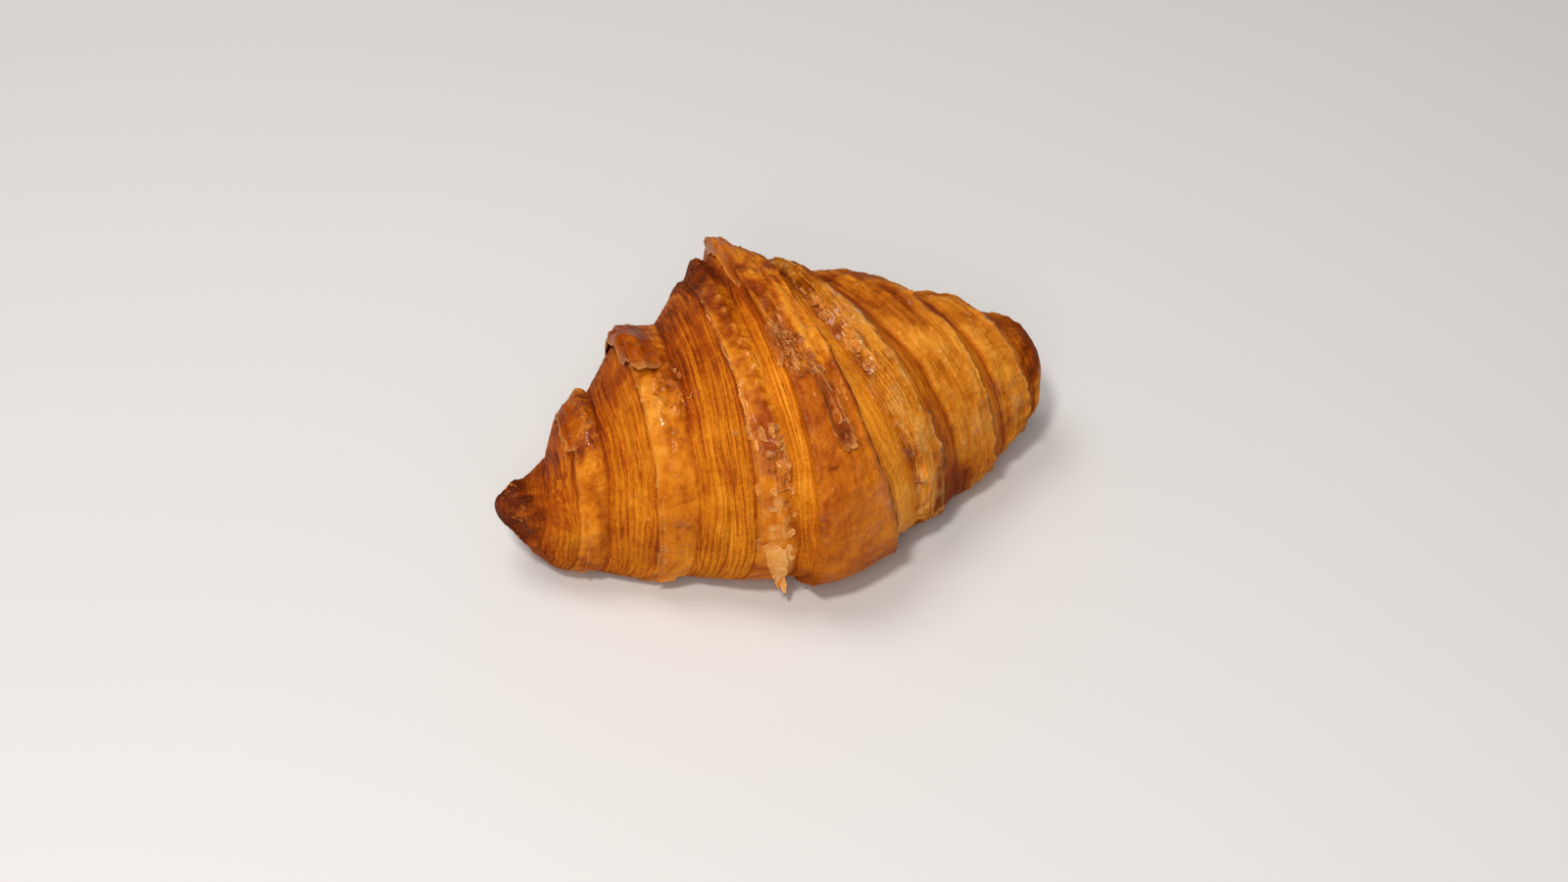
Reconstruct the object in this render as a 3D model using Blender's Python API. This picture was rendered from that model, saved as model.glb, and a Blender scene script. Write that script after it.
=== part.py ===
"""Croissant: a triangle of laminated dough rolled up from its wide side and baked.

The body is one closed solid, 160 mm long, that rests on its flat underside.  +X runs from
the slim tip to the blunt tip, -Y is the front and the underside lies at z = 0.  An angle
round the roll is in degrees: 0 at the front, 90 on top, 180 at the back, 270 underneath.
Each turn of the dough is narrower than the one below it, so its two edges show as steps
that wind round the roll towards the middle, mirrored on the two halves.
"""
import math
from typing import NamedTuple

import bmesh
import bpy
import numpy as np
from mathutils import Matrix

MM = 0.001

# The body under the steps
HALF_LENGTH = 79.8 * MM
HALF_WIDTH = 52.8 * MM        # at the middle
CROWN = 64.2 * MM             # height of the middle
SAG = 5.0 * MM                # how far the round belly would dip below the flat base
BELLY = 0.43                  # where a section is widest, as a share of its height
SHOULDER = 1.2                # of the taper in plan, 1 is a plain rhombus
TIP_FORWARD = 2.7 * MM        # the tips bend a little towards the front
CENTRING = 0.55 * MM          # keeps the origin under the middle of the whole width
SQUARENESS = 2.2              # of a section, 2 is an ellipse
MIDDLE_ROUNDING = 0.055       # rounds off the widest place in plan
MERGE = 0.25                  # share of the length over which one half becomes the other
CAP_START = 0.92              # the last part of each half rounds over into its tip
LIFT_START = 0.55             # from here outward the underside leaves the table
BASE_ROUNDING = 3.0 * MM      # between the flat base and the belly
BELLY_FADE = 0.75             # from here outward the section evens out to half its height
CORE = 6.0 * MM               # nearer the axis than this, what stands out of the body fades
TINY = 0.01 * MM

# The slim tip: a neck behind it, and its end turns up
TIP_RISE = 3.9 * MM
TIP_RISE_START = 0.77
NECK_PLACE = -71.2 * MM
NECK_LENGTH = 6.4 * MM
NECK_DEPTH = 4.4 * MM         # on top and behind
NECK_SWELL = 3.1 * MM         # at the front and below, where it bulges instead
NECK_BEHIND = (20.0, 70.0, 175.0, 225.0)

# The turns of dough
INNER_PITCH = 4.0 * MM        # how fast the last turn narrows, per turn
SKIN = 0.9 * MM               # thickness of the skin that ends in a sharp edge on each lip
SKIN_SHARE = 0.07             # of a riser, taken by that edge
BULGE = 1.6                   # how soon a turn swells up again past its riser
STEP_LEAST = 0.3              # of a step's height, kept underneath
STEP_SIDES = 0.35             # added on the sides, between the middle two angles
STEP_SIDES_SPAN = (-45.0, 20.0, 215.0, 260.0)
STEP_TOP = 0.35               # added on top
STEP_TOP_SPAN = (20.0, 110.0, 200.0, 240.0)
STEP_AT_TIP = 0.25            # of everything that stands out, kept at the very tip
TIP_FADE = 0.06
BLUNT_LEAN = 0.25             # the blunt half bends back, so its turns lean this much
LEAN_SPAN = (4.0 * MM, 30.0 * MM)
LEAN_FADE = (66.0 * MM, 79.0 * MM)
LEAN_ROUNDS = 6               # rounds of correction that place a ring on a leaning edge

# The crest: the last turn, which ends on top with a torn edge and a raised knob behind
CREST_RISE = 2.3 * MM
CREST_END = 75.0              # angle where the crest stops and the smooth tab shows
CREST_SPAN = (CREST_END - 5.0, CREST_END + 5.0, 150.0, 205.0)
CREST_EDGE = 0.08             # of a turn, from the crest's rim out to nothing
TAB_RISE = 2.8 * MM
TAB_START = (-50.0, -20.0)
KNOB_RISE = 3.8 * MM
KNOB_ANGLE = 136.0
KNOB_SPREAD = 17.0            # degrees
KNOB_SPAN = (-11.5 * MM, -8.5 * MM, -0.8 * MM, 7.2 * MM)
FLAP_RISE = 1.6 * MM          # the torn corner of the slim half's second turn
FLAP_PLACE = -36.0 * MM
FLAP_LENGTH = 6.0 * MM
FLAP_ANGLE = 125.0
FLAP_SPREAD = 24.0

# The faces: rings follow the edges of the turns, and even out again underneath
SPOKES = 56
RISER_RINGS = 4
TURN_RINGS = 4
TIP_RINGS = 5
CREST_RINGS = 5
UNWIND_START = 235.0          # from this angle the rings slip back by one turn
UNWIND_SPAN = 50.0            # degrees, across the flat base
CREASE_ANGLE = 50.0           # an edge sharper than this is drawn sharp

CRUST_COLOUR = (0.44, 0.119, 0.014, 1.0)
CRUST_ROUGHNESS = 0.42


class Half(NamedTuple):
    """One half of the roll, from the middle out to its tip."""
    tip_radius: float         # in plan, before the tip rounds over
    drop: float               # how much lower the tip's top is than the crown
    arch: float               # how late the top falls off
    lift: float               # height of the tip's underside
    lips: tuple               # distance of each turn's edge from the middle
    lip_angle: float          # the angle where those distances hold
    risers: tuple             # share of each turn that is the sloping cut edge
    steps: tuple              # height of each step on top of the roll


SLIM = Half(
    tip_radius=6.6 * MM, drop=41.5 * MM, arch=1.72, lift=12.2 * MM,
    lips=(3.0 * MM, 16.5 * MM, 41.0 * MM, 60.0 * MM, 80.0 * MM), lip_angle=60.0,
    risers=(0.35, 0.55, 0.60, 0.40), steps=(3.3 * MM, 6.4 * MM, 4.2 * MM, 8.6 * MM))
BLUNT = Half(
    tip_radius=9.5 * MM, drop=28.0 * MM, arch=1.66, lift=16.5 * MM,
    lips=(8.2 * MM, 22.0 * MM, 46.0 * MM, 63.0 * MM, 80.0 * MM), lip_angle=90.0,
    risers=(0.42, 0.30, 0.33, 0.30), steps=(2.6 * MM, 5.4 * MM, 3.8 * MM, 2.8 * MM))


def blend(a, b, share):
    return a + (b - a) * share


def ease(start, stop, value):
    """0 before start, 1 after stop, and smooth between them."""
    share = np.clip((value - start) / (stop - start), 0.0, 1.0)
    return share * share * (3.0 - 2.0 * share)


def over(span, value):
    """0 outside the first and last of four places, and 1 between the middle two."""
    start, full, fading, stop = span
    return ease(start, full, value) * (1.0 - ease(fading, stop, value))


def bell(offset, width):
    return np.exp(-(offset / width) ** 2)


def signed_power(value, power):
    return np.sign(value) * np.abs(value) ** power


def body_section(x, angle):
    """The smooth body at x and angle: y, z, and the height of the section's middle."""
    along = np.minimum(np.abs(x) / HALF_LENGTH, 1.0)
    side = ease(-MERGE, MERGE, x / HALF_LENGTH)

    def mixed(name):
        return blend(getattr(SLIM, name), getattr(BLUNT, name), side)

    taper = 1.0 - np.minimum(np.hypot(along, MIDDLE_ROUNDING), 1.0) ** SHOULDER
    half_width = blend(mixed("tip_radius"), HALF_WIDTH, taper)
    top = CROWN - mixed("drop") * along ** mixed("arch")
    raised = np.maximum((along - LIFT_START) / (1.0 - LIFT_START), 0.0) ** 2
    bottom = blend(-SAG, mixed("lift"), raised)
    middle = blend(bottom, top, blend(BELLY, 0.5, ease(BELLY_FADE, 1.0, along)))
    rise = TIP_RISE * ease(TIP_RISE_START, 1.0, -x / HALF_LENGTH)

    past = np.maximum(along - CAP_START, 0.0) / (1.0 - CAP_START)
    cap = np.sqrt(np.maximum(1.0 - past * past, 0.0))
    turn = np.radians(angle)
    across = signed_power(-np.cos(turn), 2.0 / SQUARENESS)
    up = signed_power(np.sin(turn), 2.0 / SQUARENESS)
    y = half_width * cap * across - TIP_FORWARD * along + CENTRING
    z = middle + cap * up * np.where(up > 0.0, top - middle, middle - bottom)
    return y, z + rise, middle + rise


def winding(angle):
    """The same angle, counted from underneath: -90 to 270."""
    return (angle + 90.0) % 360.0 - 90.0


def lean(x):
    return BLUNT_LEAN * ease(*LEAN_SPAN, x) * (1.0 - ease(*LEAN_FADE, x))


def turn_count(half, reach, wound):
    """Turns of dough between the middle and this reach: a whole number on each edge."""
    lips = np.array(half.lips)
    outside = np.interp(reach, lips, np.arange(len(lips)))
    inside = (reach - lips[0]) / INNER_PITCH
    return np.where(reach < lips[0], inside, outside) + (wound - half.lip_angle) / 360.0


def turn_reach(half, count, wound):
    """The reach where the count holds, which undoes turn_count."""
    lips = np.array(half.lips)
    plain = count - (wound - half.lip_angle) / 360.0
    outside = np.interp(plain, np.arange(len(lips)), lips)
    return np.where(plain < 0.0, lips[0] + INNER_PITCH * plain, outside)


def step_height(half, count):
    """Height of the layered steps: down along each riser, then up along the next turn."""
    last = len(half.risers) - 1
    turn = np.floor(count)
    here = np.clip(turn, 0, last).astype(int)
    share = count - turn
    drop = np.array(half.steps)[here]
    following = np.array(half.steps[1:] + (0.0,))[here]
    riser = np.array(half.risers)[here]

    slope = np.clip(share / riser, 0.0, 1.0)
    edge = np.minimum(SKIN, 0.5 * drop)
    down = 0.5 * drop - edge * np.clip(slope / SKIN_SHARE, 0.0, 1.0) - (drop - edge) * slope
    bulge = 1.0 - (1.0 - np.clip((share - riser) / (1.0 - riser), 0.0, 1.0)) ** BULGE
    up = blend(-0.5 * drop, 0.5 * following, bulge)
    height = np.where(share < riser, down, up)
    height = np.where(turn > last, 0.0, height)
    return np.where(turn < 0, 0.5 * half.steps[0], height)


def step_strength(wound):
    """Steps are full on top and behind, and pressed nearly flat underneath."""
    sides = STEP_SIDES * over(STEP_SIDES_SPAN, wound)
    return STEP_LEAST + sides + STEP_TOP * over(STEP_TOP_SPAN, wound)


def relief(x, y, wound):
    """How far the layers, crest, knob, torn flap and neck stand out from the smooth body."""
    leaned = x + lean(x) * y
    slim_count = turn_count(SLIM, -leaned, wound)
    blunt_count = turn_count(BLUNT, leaned, wound)
    steps = np.minimum(step_height(SLIM, slim_count), step_height(BLUNT, blunt_count))
    height = step_strength(wound) * steps

    on_crest = (1.0 - ease(0.0, CREST_EDGE, slim_count)) * (1.0 - ease(0.0, CREST_EDGE, blunt_count))
    start, full = CREST_SPAN[:2]
    height += on_crest * CREST_RISE * over(CREST_SPAN, wound)
    height += on_crest * TAB_RISE * (1.0 - ease(start, full, wound)) * ease(*TAB_START, wound)
    height += KNOB_RISE * over(KNOB_SPAN, x) * bell(wound - KNOB_ANGLE, KNOB_SPREAD)
    height += FLAP_RISE * bell(x - FLAP_PLACE, FLAP_LENGTH) * bell(wound - FLAP_ANGLE, FLAP_SPREAD)
    tip_fade = ease(0.0, TIP_FADE, 1.0 - np.abs(x) / HALF_LENGTH)
    neck = blend(-NECK_SWELL, NECK_DEPTH, over(NECK_BEHIND, wound)) * bell(x - NECK_PLACE, NECK_LENGTH)
    return height * blend(STEP_AT_TIP, 1.0, tip_fade) - neck


def settle(z):
    """Flatten what would sink below the table, with a rounded edge."""
    rounded = np.maximum(z + BASE_ROUNDING, 0.0) ** 2 / (4.0 * BASE_ROUNDING)
    return np.where(z > BASE_ROUNDING, z, rounded)


def crust_points(x, angle):
    """Points of the finished crust."""
    y, z, middle = body_section(x, angle)
    outward = np.maximum(np.hypot(y, z - middle), TINY)
    grow = relief(x, y, winding(angle)) * np.minimum(outward / CORE, 1.0) / outward
    return np.stack([x, y + y * grow, settle(z + (z - middle) * grow)], axis=-1)


def half_counts(half):
    """The turn counts of one half's rings, from its first edge out to the last riser."""
    counts = []
    for turn, riser in enumerate(half.risers):
        counts += [turn, turn + SKIN_SHARE * riser]
        counts += [turn + riser * step / RISER_RINGS for step in range(1, RISER_RINGS + 1)]
        if turn < len(half.risers) - 1:
            counts += [turn + blend(riser, 1.0, step / TURN_RINGS)
                       for step in range(1, TURN_RINGS)]
    return counts


def unwound(wound):
    """The winding angle, eased back by one turn underneath so that the rings close."""
    slip = (wound - UNWIND_START) % 360.0
    back = UNWIND_START - (360.0 - UNWIND_SPAN) * ease(0.0, UNWIND_SPAN, slip)
    return np.where(slip < UNWIND_SPAN, back, wound)


def ring_places(angle):
    """x of every ring from the slim tip to the blunt tip, at one spoke's angle."""
    wound = unwound(winding(angle))
    slim = -turn_reach(SLIM, np.array(half_counts(SLIM)), wound)
    blunt = turn_reach(BLUNT, np.array(half_counts(BLUNT)), wound)
    towards = np.sin(np.arange(1, TIP_RINGS + 1) / TIP_RINGS * math.pi / 2.0)
    crest = blend(slim[0], blunt[0], np.arange(1, CREST_RINGS) / CREST_RINGS)
    reach = np.concatenate([
        blend(slim[-1], -HALF_LENGTH, towards)[::-1], slim[::-1], crest,
        blunt, blend(blunt[-1], HALF_LENGTH, towards)])
    x = reach
    for _ in range(LEAN_ROUNDS):
        x = reach - lean(x) * body_section(x, angle)[0]
    return x


def crust_mesh():
    """A sphere with its poles on the tips, each point moved onto the crust."""
    spokes = [ring_places(360.0 * spoke / SPOKES) for spoke in range(SPOKES)]
    rings = len(spokes[0]) - 1
    shell = bmesh.new()
    bmesh.ops.create_uvsphere(shell, u_segments=SPOKES, v_segments=rings, radius=1.0,
                              matrix=Matrix.Rotation(math.radians(90.0), 4, "Y"))
    for vert in shell.verts:
        ring = round((math.asin(min(max(vert.co.x, -1.0), 1.0)) / math.pi + 0.5) * rings)
        spoke = round(math.atan2(vert.co.z, -vert.co.y) / math.tau * SPOKES) % SPOKES
        vert.co = crust_points(spokes[spoke][ring], 360.0 * spoke / SPOKES)
    bmesh.ops.triangulate(shell, faces=shell.faces, quad_method="BEAUTY")
    bmesh.ops.recalc_face_normals(shell, faces=shell.faces)
    mesh = bpy.data.meshes.new("croissant")
    shell.to_mesh(mesh)
    shell.free()
    mesh.shade_smooth()
    mesh.set_sharp_from_angle(angle=math.radians(CREASE_ANGLE))
    return mesh


def crust_material():
    material = bpy.data.materials.new("baked_crust")
    material.use_nodes = True
    shader = material.node_tree.nodes["Principled BSDF"]
    shader.inputs["Base Color"].default_value = CRUST_COLOUR
    shader.inputs["Roughness"].default_value = CRUST_ROUGHNESS
    shader.inputs["Metallic"].default_value = 0.0
    material.diffuse_color = CRUST_COLOUR
    return material


def main():
    for old in list(bpy.data.objects):
        bpy.data.objects.remove(old)
    collection = bpy.data.collections.new("croissant")
    bpy.context.scene.collection.children.link(collection)
    croissant = bpy.data.objects.new("croissant", crust_mesh())
    croissant.data.materials.append(crust_material())
    collection.objects.link(croissant)


main()
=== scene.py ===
"""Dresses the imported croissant: its flaky crust, loose skin and crumbs, on a plain stage.

The crust follows the same turns of dough as the solid it replaces, on a much finer grid.
+X runs from the slim tip to the blunt tip, -Y is the front and the floor lies at z = 0.
An angle round the roll is in degrees: 0 at the front, 90 on top, 180 at the back.
"""
import math
from typing import NamedTuple

import bpy
import numpy as np
from bpy.props import FloatProperty, FloatVectorProperty, PointerProperty
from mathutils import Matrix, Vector


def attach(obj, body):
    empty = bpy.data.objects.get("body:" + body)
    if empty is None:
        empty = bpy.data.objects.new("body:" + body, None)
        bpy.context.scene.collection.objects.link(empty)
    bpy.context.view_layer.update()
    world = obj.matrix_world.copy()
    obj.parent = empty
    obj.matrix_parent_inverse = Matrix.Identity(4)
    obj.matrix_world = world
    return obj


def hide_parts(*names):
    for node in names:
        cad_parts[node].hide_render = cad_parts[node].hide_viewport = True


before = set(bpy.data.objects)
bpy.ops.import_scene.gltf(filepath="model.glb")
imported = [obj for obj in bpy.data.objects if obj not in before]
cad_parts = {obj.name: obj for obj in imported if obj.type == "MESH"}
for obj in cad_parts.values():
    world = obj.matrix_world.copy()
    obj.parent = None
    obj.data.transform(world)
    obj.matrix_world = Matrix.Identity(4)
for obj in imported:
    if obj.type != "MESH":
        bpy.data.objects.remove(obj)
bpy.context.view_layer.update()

bl_info = {
    "name": "Croissant Crust",
    "version": (1, 0, 0),
    "blender": (4, 5, 0),
    "location": "3D View > Sidebar > Croissant",
    "description": "Builds the baked crust, the loose skin and the crumbs of a croissant",
    "category": "Object",
}

MM = 0.001

# The smooth body under the steps, as in the solid
HALF_LENGTH = 79.8 * MM
HALF_WIDTH = 52.8 * MM        # at the middle
CROWN = 64.2 * MM             # height of the middle
SAG = 5.0 * MM                # how far the round belly would dip below the flat base
BELLY = 0.43                  # where a section is widest, as a share of its height
SHOULDER = 1.2                # of the taper in plan, 1 is a plain rhombus
TIP_FORWARD = 2.7 * MM        # the tips bend a little towards the front
CENTRING = 0.55 * MM          # keeps the origin under the middle of the whole width
SQUARENESS = 2.2              # of a section, 2 is an ellipse
MIDDLE_ROUNDING = 0.055       # rounds off the widest place in plan
MERGE = 0.25                  # share of the length over which one half becomes the other
CAP_START = 0.92              # the last part of each half rounds over into its tip
LIFT_START = 0.55             # from here outward the underside leaves the table
BASE_ROUNDING = 3.0 * MM      # between the flat base and the belly
BELLY_FADE = 0.75             # from here outward the section evens out to half its height
CORE = 6.0 * MM               # nearer the axis than this, what stands out of the body fades
TINY = 0.01 * MM

# The turns of dough and their steps, as in the solid
INNER_PITCH = 4.0 * MM        # how fast the last turn narrows, per turn
SKIN = 0.9 * MM               # thickness of the skin that ends in a sharp edge on each lip
BULGE = 1.6                   # how soon a turn swells up again past its riser
STEP_LEAST = 0.3              # of a step's height, kept underneath
STEP_SIDES = 0.35             # added on the sides, between the middle two angles
STEP_SIDES_SPAN = (-45.0, 20.0, 215.0, 260.0)
STEP_TOP = 0.35               # added on top
STEP_TOP_SPAN = (20.0, 110.0, 200.0, 240.0)
STEP_AT_TIP = 0.25            # of everything that stands out, kept at the very tip
TIP_FADE = 0.06
LEAN_ROUNDS = 6               # rounds of correction that place a ring on a leaning edge
BLUNT_LEAN = 0.25             # the blunt half bends back, so its turns lean this much
LEAN_SPAN = (4.0 * MM, 30.0 * MM)
LEAN_FADE = (66.0 * MM, 79.0 * MM)

# The crest, the tab in front of it, the knob, the torn lobe and the slim tip
CREST_RISE = 2.3 * MM
CREST_END = 75.0              # angle where the crest stops and the smooth tab shows
CREST_FADE = (150.0, 205.0)   # degrees, where the crest falls away behind
TAB_RISE = 2.8 * MM
TAB_START = (-50.0, -20.0)
KNOB_RISE = 3.8 * MM
KNOB_ANGLE = 136.0
KNOB_SPREAD = 17.0            # degrees
KNOB_SPAN = (-11.5 * MM, -8.5 * MM, -0.8 * MM, 7.2 * MM)
FLAP_RISE = 1.6 * MM          # the torn corner of the slim half's second turn
FLAP_PLACE = -36.0 * MM
FLAP_LENGTH = 6.0 * MM
FLAP_ANGLE = 125.0
FLAP_SPREAD = 24.0
NOSE = 1.2 * MM               # how far the crust of the slim tip reaches past the solid
TIP_RISE = 3.9 * MM
TIP_RISE_START = 0.77
NECK_PLACE = -71.2 * MM
NECK_LENGTH = 6.4 * MM
NECK_DEPTH = 4.4 * MM         # on top and behind
NECK_SWELL = 3.1 * MM         # at the front and below, where it bulges instead
NECK_BEHIND = (20.0, 70.0, 175.0, 225.0)

# How the turns are counted and closed underneath
UNWIND_START = 235.0          # from this angle the rings slip back by one turn
UNWIND_SPAN = 50.0            # degrees, across the flat base
LAST_TURN = 3                 # of each half, counted from 0 at the middle
RADIAN = 57.3                 # degrees
FAR = 99.0 * MM               # stands for no lip near
CELLS = 256                   # of random numbers each way, after which the noise repeats
TIP_SHEAR = 0.7               # slants the noise over the tips, across their fans of faces
RIDGE_MIDDLE = 0.6            # the height of a layer's edge that lies on the solid's surface
DOME_REACH = 2.2              # sizes of a dome from its middle to where it is too low to count

# How fine the crust's grid is
RISER_SPACING = 0.30 * MM
BAND_SPACING = 0.55 * MM
CREST_RINGS = 22
SLIM_TIP_RINGS = 30
BLUNT_TIP_RINGS = 14
LIP_SHARE = 0.012             # of a turn, from the top of a lip to the foot of its edge
SPOKE_STEP = 1.0              # degrees, on the front and the top
SPOKES_BEHIND = 64
BEHIND_START = 130.0
SPOKES_UNDER = 17             # across the flat underside
UNDER_START = 225.0
UNDER_STOP = 315.0
SHEET_SPACING = (0.28, 0.34)  # mm, across the turn and along it
SHEET_LEAST = 8               # rows of corners in the smallest flake
SHEET_CLEARANCE = 0.4 * MM    # of a loose sheet above the table
FOLD_START = -0.76            # of a hanging edge, from 1 to -1 across the sheet


class Half(NamedTuple):
    """One half of the roll, from the middle out to its tip."""
    tip_radius: float         # in plan, before the tip rounds over
    drop: float               # how much lower the tip's top is than the crown
    arch: float               # how late the top falls off
    lift: float               # height of the tip's underside
    lips: tuple               # distance of each turn's edge from the middle
    lip_angle: float          # the angle where those distances hold
    risers: tuple             # share of each turn that is the sloping cut edge
    steps: tuple              # height of each step on top of the roll


SLIM = Half(
    tip_radius=6.6 * MM, drop=41.5 * MM, arch=1.72, lift=12.2 * MM,
    lips=(3.0 * MM, 16.5 * MM, 41.0 * MM, 60.0 * MM, 80.0 * MM), lip_angle=60.0,
    risers=(0.35, 0.55, 0.60, 0.40), steps=(3.3 * MM, 6.4 * MM, 4.2 * MM, 8.6 * MM))
BLUNT = Half(
    tip_radius=9.5 * MM, drop=28.0 * MM, arch=1.66, lift=16.5 * MM,
    lips=(8.2 * MM, 22.0 * MM, 46.0 * MM, 63.0 * MM, 80.0 * MM), lip_angle=90.0,
    risers=(0.42, 0.30, 0.33, 0.30), steps=(2.6 * MM, 5.4 * MM, 3.8 * MM, 2.8 * MM))


class Patch(NamedTuple):
    """A soft-edged patch of the crust, in mm and degrees."""
    amount: float
    x: tuple                  # from, to and softness
    angle: tuple              # from, to and softness
    lean: float = 0.0         # how far x counts on with each degree

    def share(self, sites):
        """1 inside the patch and 0 outside it."""
        x = sites.x / MM + self.lean * sites.wound
        return inside(x, *self.x) * inside(sites.wound, *self.angle)


class Dome(NamedTuple):
    """A blister, or a pit where the rise is negative, in mm and degrees."""
    x: float
    angle: float
    length: float             # along x
    width: float              # along the turn
    rise: float


class Cluster(NamedTuple):
    """A patch of blisters scattered between two places and two angles."""
    x: tuple
    angle: tuple
    count: int
    size: tuple
    rise: tuple
    seed: int


class Sheet(NamedTuple):
    """A loose piece of skin: where it lies, how its edges lift, in mm and degrees."""
    x: tuple                  # at the start angle
    angle: tuple
    skew: float = 0.0         # how far x shifts by the stop angle
    lifts: tuple = (0.3, 0.3, 0.2, 0.2)   # of the low-x, high-x, start and stop edges
    taper: float = 0.0        # how much narrower the stop end is, as a share
    squareness: float = 3.0   # of the outline, 2 is an ellipse
    ragged: float = 0.35      # how deep its edge is torn, as a share
    grain: float = 2.2        # size of the tears
    bake: float = 0.5
    pale: float = 0.0
    base: float = -0.2        # of its middle, below 0 it is one with the crust there
    bow: float = 0.0          # how its rise bends from the high-x to the low-x edge, 0 lifts the edge only
    fold: float = 0.0         # how far the low-x edge hangs down again
    fade: tuple = (0.0, 0.0)  # how far its rise fades towards the start and stop edges
    crumple: float = 0.15
    seed: int = 1


# ---------------------------------------------------------------- numbers and noise

def blend(a, b, share):
    return a + (b - a) * share


def ease(start, stop, value):
    """0 before start, 1 after stop, and smooth between them."""
    share = np.clip((value - start) / (stop - start), 0.0, 1.0)
    return share * share * (3.0 - 2.0 * share)


def over(span, value):
    """0 outside the first and last of four places, and 1 between the middle two."""
    start, full, fading, stop = span
    return ease(start, full, value) * (1.0 - ease(fading, stop, value))


def bell(offset, width):
    return np.exp(-(offset / width) ** 2)


def inside(value, low, high, soft):
    """1 between low and high, with soft edges."""
    return ease(low - soft, low + soft, value) * (1.0 - ease(high - soft, high + soft, value))


def signed_power(value, power):
    return np.sign(value) * np.abs(value) ** power


def noise(u, v, seed, repeat=CELLS):
    """Smooth random numbers from -1 to 1 over u and v.  v comes round after repeat cells."""
    table = np.random.default_rng(seed).uniform(-1.0, 1.0, (CELLS, CELLS))
    cell_u, cell_v = np.floor(u).astype(int), np.floor(v).astype(int)
    part_u, part_v = u - cell_u, v - cell_v
    part_u = part_u * part_u * (3.0 - 2.0 * part_u)
    part_v = part_v * part_v * (3.0 - 2.0 * part_v)

    def corner(du, dv):
        return table[(cell_u + du) % CELLS, ((cell_v + dv) % repeat) % CELLS]

    low = blend(corner(0, 0), corner(1, 0), part_u)
    high = blend(corner(0, 1), corner(1, 1), part_u)
    return blend(low, high, part_v)


def rough_noise(u, v, seed, octaves=3, repeat=CELLS):
    """The same with finer and finer noise on it, at half the size each time."""
    total, size = 0.0, 1.0
    for octave in range(octaves):
        scale = 2 ** octave
        total = total + size * noise(u * scale, v * scale, seed + octave, repeat * scale)
        size *= 0.5
    return total / 1.6


# ---------------------------------------------------------------- the roll, as in the solid

def body_section(x, angle):
    """The smooth body at x and angle: y, z, and the height of the section's middle."""
    along = np.minimum(np.abs(x) / HALF_LENGTH, 1.0)
    side = ease(-MERGE, MERGE, x / HALF_LENGTH)

    def mixed(name):
        return blend(getattr(SLIM, name), getattr(BLUNT, name), side)

    taper = 1.0 - np.minimum(np.hypot(along, MIDDLE_ROUNDING), 1.0) ** SHOULDER
    half_width = blend(mixed("tip_radius"), HALF_WIDTH, taper)
    top = CROWN - mixed("drop") * along ** mixed("arch")
    raised = np.maximum((along - LIFT_START) / (1.0 - LIFT_START), 0.0) ** 2
    bottom = blend(-SAG, mixed("lift"), raised)
    middle = blend(bottom, top, blend(BELLY, 0.5, ease(BELLY_FADE, 1.0, along)))
    rise = TIP_RISE * ease(TIP_RISE_START, 1.0, -x / HALF_LENGTH)

    past = np.maximum(along - CAP_START, 0.0) / (1.0 - CAP_START)
    cap = np.sqrt(np.maximum(1.0 - past * past, 0.0))
    turn = np.radians(angle)
    across = signed_power(-np.cos(turn), 2.0 / SQUARENESS)
    up = signed_power(np.sin(turn), 2.0 / SQUARENESS)
    y = half_width * cap * across - TIP_FORWARD * along + CENTRING
    z = middle + cap * up * np.where(up > 0.0, top - middle, middle - bottom)
    return y, z + rise, middle + rise


def winding(angle):
    """The same angle, counted from underneath: -90 to 270."""
    return (angle + 90.0) % 360.0 - 90.0


def lean(x):
    return BLUNT_LEAN * ease(*LEAN_SPAN, x) * (1.0 - ease(*LEAN_FADE, x))


def turn_count(half, reach, wound):
    """Turns of dough between the middle and this reach: a whole number on each edge."""
    lips = np.array(half.lips)
    outside = np.interp(reach, lips, np.arange(len(lips)))
    inner = (reach - lips[0]) / INNER_PITCH
    return np.where(reach < lips[0], inner, outside) + (wound - half.lip_angle) / 360.0


def turn_reach(half, count, wound):
    """The reach where the count holds, which undoes turn_count."""
    lips = np.array(half.lips)
    plain = count - (wound - half.lip_angle) / 360.0
    outside = np.interp(plain, np.arange(len(lips)), lips)
    return np.where(plain < 0.0, lips[0] + INNER_PITCH * plain, outside)


def step_height(half, count):
    """Height of the layered steps: down along each riser, then up along the next turn."""
    last = len(half.risers) - 1
    turn = np.floor(count)
    here = np.clip(turn, 0, last).astype(int)
    share = count - turn
    drop = np.array(half.steps)[here]
    following = np.array(half.steps[1:] + (0.0,))[here]
    riser = np.array(half.risers)[here]

    slope = np.clip(share / riser, 0.0, 1.0)
    edge = np.minimum(SKIN, 0.5 * drop)
    down = 0.5 * drop - edge * np.clip(share / LIP_SHARE, 0.0, 1.0) - (drop - edge) * slope
    bulge = 1.0 - (1.0 - np.clip((share - riser) / (1.0 - riser), 0.0, 1.0)) ** BULGE
    up = blend(-0.5 * drop, 0.5 * following, bulge)
    height = np.where(share < riser, down, up)
    height = np.where(turn > last, 0.0, height)
    return np.where(turn < 0, 0.5 * half.steps[0], height)


def step_strength(wound):
    """Steps are full on top and behind, and pressed nearly flat underneath."""
    sides = STEP_SIDES * over(STEP_SIDES_SPAN, wound)
    return STEP_LEAST + sides + STEP_TOP * over(STEP_TOP_SPAN, wound)


def settle(z):
    """Flatten what would sink below the table, with a rounded edge."""
    rounded = np.maximum(z + BASE_ROUNDING, 0.0) ** 2 / (4.0 * BASE_ROUNDING)
    return np.where(z > BASE_ROUNDING, z, rounded)


# ---------------------------------------------------------------- what only the crust has

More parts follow.
